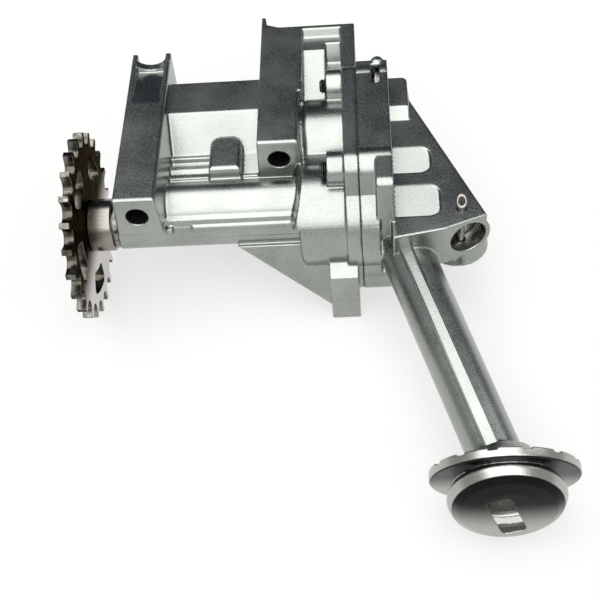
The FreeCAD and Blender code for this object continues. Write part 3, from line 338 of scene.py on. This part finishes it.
def grain_group():
    """Fine cast grain over broad patches: a colour, a roughness and a height."""
    group, start, end = node_group(
        "Metal grain",
        [("Light Colour", "colour", (0.7, 0.7, 0.7, 1)),
         ("Dark Colour", "colour", (0.5, 0.5, 0.5, 1)),
         ("Grain Size", "value", 0.0005), ("Patch Size", "value", 0.02),
         ("Roughness", "value", 0.3), ("Roughness Spread", "value", 0.1)],
        [("Colour", "colour"), ("Roughness", "value"), ("Height", "value")])
    place = add(group, "ShaderNodeTexCoord")
    per_grain = add(group, "ShaderNodeMath", operation="DIVIDE", in_0=1.0)
    per_patch = add(group, "ShaderNodeMath", operation="DIVIDE", in_0=1.0)
    fine = add(group, "ShaderNodeTexNoise")
    set_inputs(fine, Detail=5.0, Roughness=0.65)
    broad = add(group, "ShaderNodeTexNoise")
    set_inputs(broad, Detail=3.0)
    wire(group, start, "Grain Size", per_grain, 1)
    wire(group, start, "Patch Size", per_patch, 1)
    wire(group, place, "Object", fine, "Vector")
    wire(group, place, "Object", broad, "Vector")
    wire(group, per_grain, 0, fine, "Scale")
    wire(group, per_patch, 0, broad, "Scale")
    blend = add(group, "ShaderNodeMath", operation="MULTIPLY_ADD", in_1=0.55, in_2=0.0)
    both = add(group, "ShaderNodeMath", operation="MULTIPLY_ADD", in_1=0.45)
    wire(group, fine, "Fac", blend, 0)
    wire(group, broad, "Fac", both, 0)
    wire(group, blend, 0, both, 2)
    contrast = add(group, "ShaderNodeMapRange", in_1=0.35, in_2=0.65)
    wire(group, both, 0, contrast, 0)
    mix = add(group, "ShaderNodeMix", data_type="RGBA")
    wire(group, contrast, 0, mix, 0)
    wire(group, start, "Dark Colour", mix, 6)
    wire(group, start, "Light Colour", mix, 7)
    centred = add(group, "ShaderNodeMath", operation="SUBTRACT", in_1=0.5)
    wire(group, contrast, 0, centred, 0)
    rough = add(group, "ShaderNodeMath", operation="MULTIPLY_ADD")
    wire(group, centred, 0, rough, 0)
    wire(group, start, "Roughness Spread", rough, 1)
    wire(group, start, "Roughness", rough, 2)
    wire(group, mix, 2, end, "Colour")
    wire(group, rough, 0, end, "Roughness")
    wire(group, fine, "Fac", end, "Height")


def wear_group():
    """A mask that is one on the outer edges of a shape and breaks up along them."""
    group, start, end = node_group(
        "Edge wear", [("Reach", "value", 0.06), ("Break Size", "value", 0.003)], [("Mask", "value")])
    geometry = add(group, "ShaderNodeNewGeometry")
    place = add(group, "ShaderNodeTexCoord")
    per_break = add(group, "ShaderNodeMath", operation="DIVIDE", in_0=1.0)
    chips = add(group, "ShaderNodeTexNoise")
    set_inputs(chips, Detail=4.0)
    wire(group, start, "Break Size", per_break, 1)
    wire(group, place, "Object", chips, "Vector")
    wire(group, per_break, 0, chips, "Scale")
    top = add(group, "ShaderNodeMath", operation="ADD", in_1=0.51)
    wire(group, start, "Reach", top, 0)
    edge = add(group, "ShaderNodeMapRange", in_1=0.51)
    wire(group, geometry, "Pointiness", edge, 0)
    wire(group, top, 0, edge, 2)
    broken = add(group, "ShaderNodeMapRange", in_1=0.35, in_2=0.6)
    wire(group, chips, "Fac", broken, 0)
    mask = add(group, "ShaderNodeMath", operation="MULTIPLY")
    wire(group, edge, 0, mask, 0)
    wire(group, broken, 0, mask, 1)
    wire(group, mask, 0, end, "Mask")


def painted_reflection_group():
    """A painted reflection mask on faces turned one way: nothing at the height Low, full at the height High.
    """
    group, start, end = node_group(
        "Painted reflection",
        [("Facing", "vector", (0, -1, 0)), ("Low", "value", -0.02), ("High", "value", 0.0)],
        [("Mask", "value")])
    place = add(group, "ShaderNodeTexCoord")
    split = add(group, "ShaderNodeSeparateXYZ")
    turn = add(group, "ShaderNodeVectorMath", operation="DOT_PRODUCT")
    wire(group, place, "Object", split, 0)
    wire(group, place, "Normal", turn, 0)
    wire(group, start, "Facing", turn, 1)
    rise = add(group, "ShaderNodeMapRange", interpolation_type="SMOOTHSTEP")
    wire(group, split, 2, rise, 0)
    wire(group, start, "Low", rise, 1)
    wire(group, start, "High", rise, 2)
    face = add(group, "ShaderNodeMapRange", interpolation_type="SMOOTHSTEP", in_1=0.5, in_2=0.8)
    wire(group, turn, 1, face, 0)
    mask = add(group, "ShaderNodeMath", operation="MULTIPLY")
    wire(group, rise, 0, mask, 0)
    wire(group, face, 0, mask, 1)
    wire(group, mask, 0, end, "Mask")


def metal(name, light, dark, roughness, spread=0.1, grain=0.0005, patch=0.02, bump=0.00002,
          wear=None, wear_reach=0.06):
    """A metal finish from the grain group, with bare worn edges where asked."""
    material = bpy.data.materials.new(name)
    material.use_nodes = True
    tree = material.node_tree
    shader = tree.nodes["Principled BSDF"]
    set_inputs(shader, Metallic=1.0)
    base = add(tree, "ShaderNodeGroup", node_tree=bpy.data.node_groups["Metal grain"])
    set_inputs(base, Light_Colour=(*light, 1), Dark_Colour=(*dark, 1), Grain_Size=grain,
               Patch_Size=patch, Roughness=roughness, Roughness_Spread=spread)
    relief = add(tree, "ShaderNodeBump")
    set_inputs(relief, Strength=1.0, Distance=bump)
    wire(tree, base, "Height", relief, "Height")
    wire(tree, relief, 0, shader, "Normal")
    wire(tree, base, "Roughness", shader, "Roughness")
    if wear:
        worn = add(tree, "ShaderNodeGroup", node_tree=bpy.data.node_groups["Edge wear"])
        set_inputs(worn, Reach=wear_reach)
        mix = add(tree, "ShaderNodeMix", data_type="RGBA", in_7=(*wear, 1))
        wire(tree, worn, "Mask", mix, 0)
        wire(tree, base, "Colour", mix, 6)
        wire(tree, mix, 2, shader, "Base Color")
    else:
        wire(tree, base, "Colour", shader, "Base Color")
    return material


def paint_reflection(material, facing, bounds, colour, edge=None):
    """Lays a painted reflection tone over a metal's colour; an edge tone darkens the slanting view beside
    it, as painted shade.
    """
    tree = material.node_tree
    shader = tree.nodes["Principled BSDF"]
    source = shader.inputs["Base Color"].links[0].from_socket
    reflection_mask = add(tree, "ShaderNodeGroup", node_tree=bpy.data.node_groups["Painted reflection"])
    set_inputs(reflection_mask, Facing=facing, Low=bounds[0], High=bounds[1])
    mix = add(tree, "ShaderNodeMix", data_type="RGBA", in_7=(*colour, 1))
    wire(tree, reflection_mask, "Mask", mix, 0)
    tree.links.new(source, mix.inputs[6])
    wire(tree, mix, 2, shader, "Base Color")
    if edge:
        tint = add(tree, "ShaderNodeMix", data_type="RGBA", in_6=(*edge, 1), in_7=(1, 1, 1, 1))
        wire(tree, reflection_mask, "Mask", tint, 0)
        wire(tree, tint, 2, shader, "Specular Tint")


# Settings

class CastingSettings(bpy.types.PropertyGroup):
    """Skin and tones of the two castings"""
    voxel: FloatProperty(
        name="Skin grid", description="Grid of the skin that rounds a casting's edges",
        default=0.00042, min=0.0002, unit="LENGTH", precision=5)
    smoothing: IntProperty(
        name="Smoothing", description="Passes that soften the skin", default=5, min=0)
    triangles: IntProperty(
        name="Triangles", description="Triangles kept on each casting", default=190000)
    light: FloatVectorProperty(
        name="Light tone", description="Colour of the brighter grain", subtype="COLOR", size=3,
        default=(0.38, 0.4, 0.38))
    dark: FloatVectorProperty(
        name="Dark tone", description="Colour of the darker grain", subtype="COLOR", size=3,
        default=(0.26, 0.275, 0.26))
    roughness: FloatProperty(
        name="Roughness", description="How dull the cast surface is", subtype="FACTOR",
        default=0.28, min=0, max=1)


class SprocketSettings(bpy.types.PropertyGroup):
    """Edges and tone of the sprocket"""
    bevel: FloatProperty(
        name="Edge radius", description="Rounding of the stamped plate's edges", default=0.0003,
        unit="LENGTH", precision=5)
    colour: FloatVectorProperty(
        name="Steel tone", description="Colour of the oiled steel plate", subtype="COLOR", size=3,
        default=(0.085, 0.08, 0.066))


class ScrewSettings(bpy.types.PropertyGroup):
    """Thread of the cover screws"""
    shank: FloatProperty(
        name="Shank radius", description="Outside radius of the thread", default=0.003,
        unit="LENGTH", precision=5)
    pitch: FloatProperty(
        name="Pitch", description="Distance from crest to crest", default=0.001, unit="LENGTH",
        precision=5)


class StrainerSettings(bpy.types.PropertyGroup):
    """Skin of the strainer's bell"""
    grid: FloatProperty(
        name="Skin grid", description="Grid of the skin that rounds the bell's edges",
        default=0.00025, unit="LENGTH", precision=5)
    smoothing: IntProperty(
        name="Smoothing", description="Passes that soften the bell", default=9, min=0)
    triangles: IntProperty(
        name="Triangles", description="Triangles kept on the bell", default=180000)


class StageSettings(bpy.types.PropertyGroup):
    """Floor and lens of the studio"""
    floor_colour: FloatVectorProperty(
        name="Floor", description="Colour of the floor", subtype="COLOR", size=3,
        default=(0.68, 0.685, 0.675))
    focal: FloatProperty(
        name="Lens", description="Focal length in millimetres on a 36 mm sensor", default=72.29,
        min=1.0, unit="CAMERA")


# Pieces

class PUMP_OT_materials(bpy.types.Operator):
    """Builds the shared grain, wear and stain groups and every finish"""
    bl_idname = "pump.materials"
    bl_label = "Finishes"

    def execute(self, context):
        cast = context.scene.pump_casting
        # Builds the shared grain, wear and painted reflection groups and every finish
        plate = context.scene.pump_sprocket.colour
        grain_group()
        wear_group()
        painted_reflection_group()
        metal("grained_casting", cast.light, cast.dark, cast.roughness, spread=0.09, grain=0.0007,
              bump=0.00004)
        wheel = metal("oiled_sprocket_steel", plate, (0.055, 0.05, 0.04), 0.24, spread=0.05,
                      grain=0.002, patch=0.03, bump=0.000006, wear=(0.3, 0.295, 0.27),
                      wear_reach=0.12)
        # Painted sheen: the lower part of the plate's hub-side face is painted pale, and the edge tone
        # darkens the slanting reflections of its upper part as painted shade
        paint_reflection(wheel, PLATE_FACE, PLATE_PAINTED_SHEEN, (0.62, 0.59, 0.57), edge=(0.25, 0.235, 0.21))
        metal("turned_steel", (0.31, 0.29, 0.26), (0.24, 0.225, 0.2), 0.22, spread=0.05,
              bump=0.000003)
        metal("ground_steel", (0.62, 0.61, 0.6), (0.5, 0.49, 0.48), 0.22, spread=0.06,
              bump=0.000006)
        metal("black_oxide", (0.05, 0.05, 0.055), (0.02, 0.02, 0.022), 0.4, grain=0.0006,
              bump=0.00001, wear=(0.3, 0.3, 0.3))
        metal("spring_wire", (0.32, 0.32, 0.33), (0.2, 0.2, 0.21), 0.3)
        bell = metal("pressed_steel", (0.46, 0.46, 0.44), (0.38, 0.38, 0.365), 0.3, spread=0.06,
                     grain=0.0008, bump=0.000008)
        # Painted dark reflection: the upper part of the bell's front face is painted near black
        paint_reflection(bell, BELL_FACE, BELL_PAINTED_DARK_REFLECTION, (0.014, 0.015, 0.014))
        # Painted light: the gauze is given a near white tone so it reads lit inside the bell's shade
        metal("gauze_steel", (0.86, 0.86, 0.85), (0.76, 0.76, 0.75), 0.5, grain=0.0006)
        return {"FINISHED"}


class PUMP_OT_housing(bpy.types.Operator):
    """Grows the housing's casting with its rounded edges"""
    bl_idname = "pump.housing"
    bl_label = "Housing casting"

    def execute(self, context):
        cast = context.scene.pump_casting
        angles = [math.radians(angle) for angle in PAD_ANGLES]
        arc = [(-PAD_RADIUS * math.cos(a), PAD_RADIUS * math.sin(a)) for a in angles]
        ledge = bar_x(LEDGE_OUTLINE, *LEDGE_X)
        pad = bar_x([PAD_TOP, *arc, PAD_FOOT], *PAD_X)
        nub = block(NUB_LOW, NUB_HIGH)
        round_edges(nub, nub.edges[:], NUB_BEVEL * MM)
        core = helper_object("housing_core", join(from_node("pump_housing"), ledge, pad, nub))
        mesh = cast_skin(core, "housing_casting", cast.voxel, cast.smoothing, cast.triangles)
        link_piece("housing_casting", mesh, "grained_casting", "pump_body",
                   ["pump_housing"])
        return {"FINISHED"}


class PUMP_OT_cover(bpy.types.Operator):
    """Grows the end cover's casting with the valve barrel and the ribbed pickup tube"""
    bl_idname = "pump.cover"
    bl_label = "Cover casting"

    def execute(self, context):
        cast = context.scene.pump_casting
        length = (STRAINER_CENTRE - TUBE_TOP).length / MM
        outline = [(TUBE_BORE, TUBE_START), (TUBE_RADIUS_TOP, TUBE_START),
                   (TUBE_RADIUS_END, length), (TUBE_BORE, length)]
        tube = spun(outline, 128, along(TUBE_DIR, TUBE_TOP), closed=True)
        core = helper_object("cover_core", join(from_node("end_cover"), tube))
        mesh = cast_skin(core, "cover_casting", cast.voxel, cast.smoothing, cast.triangles)
        self.rib(length)
        link_piece("cover_casting", mesh, "grained_casting", "pump_body",
                   ["end_cover"])
        return {"FINISHED"}

    def rib(self, length):
        """Lays the tapered rib along the tube's upper front."""
        bm = block((-RIB_HALF_WIDTH, 0.0, RIB_START), (RIB_HALF_WIDTH, 1.0, length - RIB_END_GAP))
        tilt = math.radians(RIB_TILT)
        facing = Vector((0, -math.cos(tilt), math.sin(tilt)))
        out = (facing - TUBE_DIR * facing.dot(TUBE_DIR)).normalized()
        for vert in bm.verts:
            share = vert.co.z / (length * MM)
            crest = (RIB_CREST - RIB_TAPER * share) * MM
            vert.co.y = crest if vert.co.y > 0 else RIB_FOOT * MM
        upper = [e for e in bm.edges if min(v.co.y for v in e.verts) > RIB_CREST_FLOOR * MM]
        round_edges(bm, upper, RIB_BEVEL * MM, segments=4)
        axes = Matrix((out.cross(TUBE_DIR), out, TUBE_DIR)).transposed().to_4x4()
        bmesh.ops.transform(bm, matrix=Matrix.Translation(TUBE_TOP) @ axes, verts=bm.verts)
        piece_from("pickup_rib", bm, "grained_casting", "pump_body", ["end_cover"])


class PUMP_OT_strainer(bpy.types.Operator):
    """Grows one rounded skin over the strainer's bell, with its folded rim, tabs and slot."""
    bl_idname = "pump.strainer"
    bl_label = "Strainer bell"

    def execute(self, context):
        settings = context.scene.pump_strainer
        core = helper_object("bell_core", from_node("strainer_bell"))
        mesh = cast_skin(core, "strainer_cap", settings.grid, settings.smoothing, settings.triangles,
                         held=False)
        link_piece("strainer_cap", mesh, "pressed_steel", "pump_body",
                   ["strainer_bell"])
        return {"FINISHED"}


class PUMP_OT_sprocket(bpy.types.Operator):
    """Rounds the stamped sprocket's edges and turns its hub"""
    bl_idname = "pump.sprocket"
    bl_label = "Sprocket and hub"

    def execute(self, context):
        settings = context.scene.pump_sprocket
        bm = from_node("sprocket_plate")
        bmesh.ops.dissolve_limit(bm, angle_limit=math.radians(1), verts=bm.verts, edges=bm.edges)
        rim = [e for e in bm.edges if e.is_manifold and e.calc_face_angle() > math.radians(60)]
        flat = [e for e in rim if abs(e.verts[0].co.x - e.verts[1].co.x) < SAME_POINT]
        round_edges(bm, flat, settings.bevel)
        piece_from("sprocket_wheel", bm, "oiled_sprocket_steel", "drive_rotor",
                   ["sprocket_plate"], sharp=15.0)
        hub = spun(HUB_PROFILE, 96, along(SHAFT_AXIS, Vector((0, 0, 0))), closed=True)
        piece_from("hub_collar", hub, "turned_steel", "drive_rotor", ["sprocket_hub"])
        return {"FINISHED"}


def screw_profile(settings):
    """Half outline of a socket screw, from its tip over the thread to the socket, in millimetres."""
    radius = settings.shank / MM
    pitch = settings.pitch / MM
    root = radius - THREAD_DEPTH * pitch
    profile = [(0, 0), (root - 0.3, 0), (root, 0.4)]
    height = 0.6
    while height < THREAD_LENGTH:
        profile += [(root, height), (radius, height + 0.4 * pitch), (radius, height + 0.5 * pitch)]
        height += pitch
    seat = SCREW_LENGTH
    top = seat + HEAD_HEIGHT
    profile += [(root, height), (radius, height + 0.6)]
    profile += [(3.0, seat), (HEAD_RADIUS - 0.3, seat), (HEAD_RADIUS, seat + 0.3)]
    profile += [(HEAD_RADIUS, top - 0.4), (HEAD_RADIUS - 0.4, top), (SOCKET_RADIUS + 0.3, top)]
    return profile + [(SOCKET_RADIUS, seat + SOCKET_FLOOR + 0.4), (0, seat + SOCKET_FLOOR)]


class PUMP_OT_screws(bpy.types.Operator):
    """Turns the cover's four socket screws with their threads"""
    bl_idname = "pump.screws"
    bl_label = "Cover screws"

    def execute(self, context):
        profile = screw_profile(context.scene.pump_screws)
        screws = bmesh.new()
        for y, z in SCREW_PLACES:
            place = Vector((SCREW_SEAT_X - SCREW_LENGTH, y, z)) * MM
            join(screws, spun(profile, 32, along(SHAFT_AXIS, place)))
        piece_from("cover_screws", screws, "black_oxide", "pump_body", ["cover_bolts"])
        return {"FINISHED"}


class PUMP_OT_valve(bpy.types.Operator):
    """Turns the spring cup and bends the split pin that holds it"""
    bl_idname = "pump.valve"
    bl_label = "Relief valve"

    def execute(self, context):
        cup = spun(CUP_PROFILE, 64, along(VALVE_DIR, VALVE_MOUTH - VALVE_DIR * CUP_DEPTH * MM))
        piece_from("valve_cup", cup, "ground_steel", "pump_body", ["spring_cup"])
        pin = VALVE_MOUTH - VALVE_DIR * PIN_DEPTH * MM
        leg = spun(PIN_PROFILE, 24, along(UP, Vector((pin.x, pin.y, pin.z - PIN_BELOW * MM))))
        piece_from("split_pin_wire", join(leg, self.eye(pin)), "turned_steel", "pump_body",
                   ["split_pin"])
        return {"FINISHED"}

    def eye(self, pin):
        """The pin's round eye, stretched and leaned over on the wedge's top."""
        eye = bmesh.new()
        upright = Matrix.Rotation(math.pi / 2, 4, "X")
        ring = bmesh.ops.create_circle(
            eye, segments=16, radius=EYE_WIRE * MM,
            matrix=Matrix.Translation((EYE_RADIUS * MM, 0, 0)) @ upright)
        bmesh.ops.spin(eye, geom=ring["verts"] + eye.edges[:], cent=(0, 0, 0), axis=UP,
                       angle=2 * math.pi, steps=48, use_merge=True)
        bmesh.ops.recalc_face_normals(eye, faces=eye.faces)
        shape = Matrix.Rotation(math.radians(EYE_TILT), 4, "X") @ Matrix.Diagonal(EYE_STRETCH)
        place = (pin.x, pin.y + EYE_RADIUS * MM, (WEDGE_TOP_Z + EYE_RISE) * MM)
        bmesh.ops.transform(eye, matrix=Matrix.Translation(place) @ shape, verts=eye.verts)
        return eye


class PUMP_OT_carried(bpy.types.Operator):
    """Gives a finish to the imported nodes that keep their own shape"""
    bl_idname = "pump.carried"
    bl_label = "Carried nodes"

    def execute(self, context):
        finishes = {
            "ground_steel": ("drive_shaft", "drive_gear", "drive_gear_key", "driven_gear",
                             "driven_axle", "cover_dowels", "relief_piston"),
            "black_oxide": ("thrust_washer",),
            "spring_wire": ("relief_spring",),
            "gauze_steel": ("strainer_gauze",),
        }
        for finish, nodes in finishes.items():
            for node in nodes:
                mesh = NODES[node].data
                mesh.materials.clear()
                mesh.materials.append(bpy.data.materials[finish])
        return {"FINISHED"}


class PUMP_OT_stage(bpy.types.Operator):
    """Sets the floor, the sky, the lamp and the camera"""
    bl_idname = "pump.stage"
    bl_label = "Studio"

    def execute(self, context):
        settings = context.scene.pump_stage
        self.floor(context, settings)
        self.sky(context)
        self.lamp(context)
        camera = bpy.data.cameras.new("photo_camera")
        camera.lens = settings.focal
        camera.sensor_width = 36.0
        camera.clip_start = 0.01
        camera.clip_end = 20.0
        holder = bpy.data.objects.new("photo_camera", camera)
        holder.location = CAMERA_PLACE
        holder.rotation_euler = Euler([math.radians(angle) for angle in CAMERA_TURN], "XYZ")
        context.scene.collection.objects.link(holder)
        context.scene.camera = holder
        context.scene.view_settings.view_transform = "Standard"
        return {"FINISHED"}

    def floor(self, context, settings):
        """Lays the pale floor under the pump's lowest point."""
        bm = bmesh.new()
        bmesh.ops.create_grid(bm, x_segments=1, y_segments=1, size=FLOOR_SIZE,
                              matrix=Matrix.Translation((0, 0, CAD_BOX[0][2])))
        floor = helper_object("studio_floor", bm)
        paint = bpy.data.materials.new("pale_floor")
        paint.use_nodes = True
        shader = paint.node_tree.nodes["Principled BSDF"]
        set_inputs(shader, Base_Color=(*settings.floor_colour, 1), Roughness=0.9,
                   Specular_IOR_Level=0.1)
        self.bright_backdrop(paint.node_tree, shader)
        floor.data.materials.append(paint)

    def bright_backdrop(self, tree, shader):
        """Lets camera and mirror rays see part of the floor as white, so its shadows stay light."""
        ray = add(tree, "ShaderNodeLightPath")
        seen = add(tree, "ShaderNodeMath", operation="MAXIMUM")
        wire(tree, ray, "Is Camera Ray", seen, 0)
        wire(tree, ray, "Is Glossy Ray", seen, 1)
        share = add(tree, "ShaderNodeMath", operation="MULTIPLY", in_1=FLOOR_GLOW)
        wire(tree, seen, 0, share, 0)
        white = add(tree, "ShaderNodeEmission")
        set_inputs(white, Color=BACKDROP)
        mix = add(tree, "ShaderNodeMixShader")
        wire(tree, share, 0, mix, 0)
        wire(tree, shader, 0, mix, 1)
        wire(tree, white, 0, mix, 2)
        wire(tree, mix, 0, tree.nodes["Material Output"], "Surface")

    def sky(self, context):
        """Lights the pump with soft patches of sky behind a backdrop that the camera sees as white."""
        world = bpy.data.worlds.new("studio_sky")
        context.scene.world = world
        world.use_nodes = True
        tree = world.node_tree
        background = tree.nodes["Background"]
        place = add(tree, "ShaderNodeTexCoord")
        colour = None
        for direction, start, full, tone in SKY_PATCHES:
            turn = add(tree, "ShaderNodeVectorMath", operation="DOT_PRODUCT", in_1=direction)
            wire(tree, place, "Generated", turn, 0)
            mask = add(tree, "ShaderNodeMapRange", interpolation_type="SMOOTHSTEP", in_1=start,
                       in_2=full)
            wire(tree, turn, 1, mask, 0)
            mix = add(tree, "ShaderNodeMix", data_type="RGBA", in_6=SKY_BASE, in_7=tone)
            wire(tree, mask, 0, mix, 0)
            if colour:
                wire(tree, colour, 2, mix, 6)
            colour = mix
        wire(tree, colour, 2, background, "Color")
        set_inputs(background, Strength=1.0)
        backdrop = add(tree, "ShaderNodeBackground")
        set_inputs(backdrop, Color=BACKDROP)
        ray = add(tree, "ShaderNodeLightPath")
        seen = add(tree, "ShaderNodeMixShader")
        wire(tree, ray, "Is Camera Ray", seen, 0)
        wire(tree, background, 0, seen, 1)
        wire(tree, backdrop, 0, seen, 2)
        wire(tree, seen, 0, tree.nodes["World Output"], "Surface")

    def lamp(self, context):
        """Hangs one soft square lamp beside the pump."""
        lamp = bpy.data.lights.new("side_box", "AREA")
        lamp.shape = "SQUARE"
        lamp.size = LAMP_SIZE
        lamp.energy = LAMP_POWER
        holder = bpy.data.objects.new("side_box", lamp)
        holder.location = LAMP_PLACE
        aim = Vector(LAMP_AIM) - Vector(LAMP_PLACE)
        holder.rotation_euler = aim.to_track_quat("-Z", "Y").to_euler()
        context.scene.collection.objects.link(holder)


class PUMP_PT_panel(bpy.types.Panel):
    """Lists the pump's pieces and their settings"""
    bl_idname = "PUMP_PT_panel"
    bl_label = "Oil pump"
    bl_space_type = "VIEW_3D"
    bl_region_type = "UI"
    bl_category = "Pump"

    def draw(self, context):
        for group in SETTINGS:
            settings = getattr(context.scene, group)
            for key in settings.__annotations__:
                self.layout.prop(settings, key)
        for operator in OPERATORS:
            self.layout.operator(operator.bl_idname)


SETTINGS = {
    "pump_casting": CastingSettings, "pump_sprocket": SprocketSettings, "pump_screws": ScrewSettings,
    "pump_strainer": StrainerSettings, "pump_stage": StageSettings,
}
OPERATORS = (
    PUMP_OT_materials, PUMP_OT_housing, PUMP_OT_cover, PUMP_OT_strainer, PUMP_OT_sprocket,
    PUMP_OT_screws, PUMP_OT_valve, PUMP_OT_carried, PUMP_OT_stage,
)


def register():
    for cls in (*SETTINGS.values(), *OPERATORS, PUMP_PT_panel):
        bpy.utils.register_class(cls)
    for name, cls in SETTINGS.items():
        setattr(bpy.types.Scene, name, PointerProperty(type=cls))


def unregister():
    for name in SETTINGS:
        delattr(bpy.types.Scene, name)
    for cls in reversed((*SETTINGS.values(), *OPERATORS, PUMP_PT_panel)):
        bpy.utils.unregister_class(cls)


def main():
    register()
    for operator in OPERATORS:
        area, name = operator.bl_idname.split(".")
        getattr(getattr(bpy.ops, area), name)()
    bpy.context.view_layer.update()


if __name__ == "__main__":
    main()
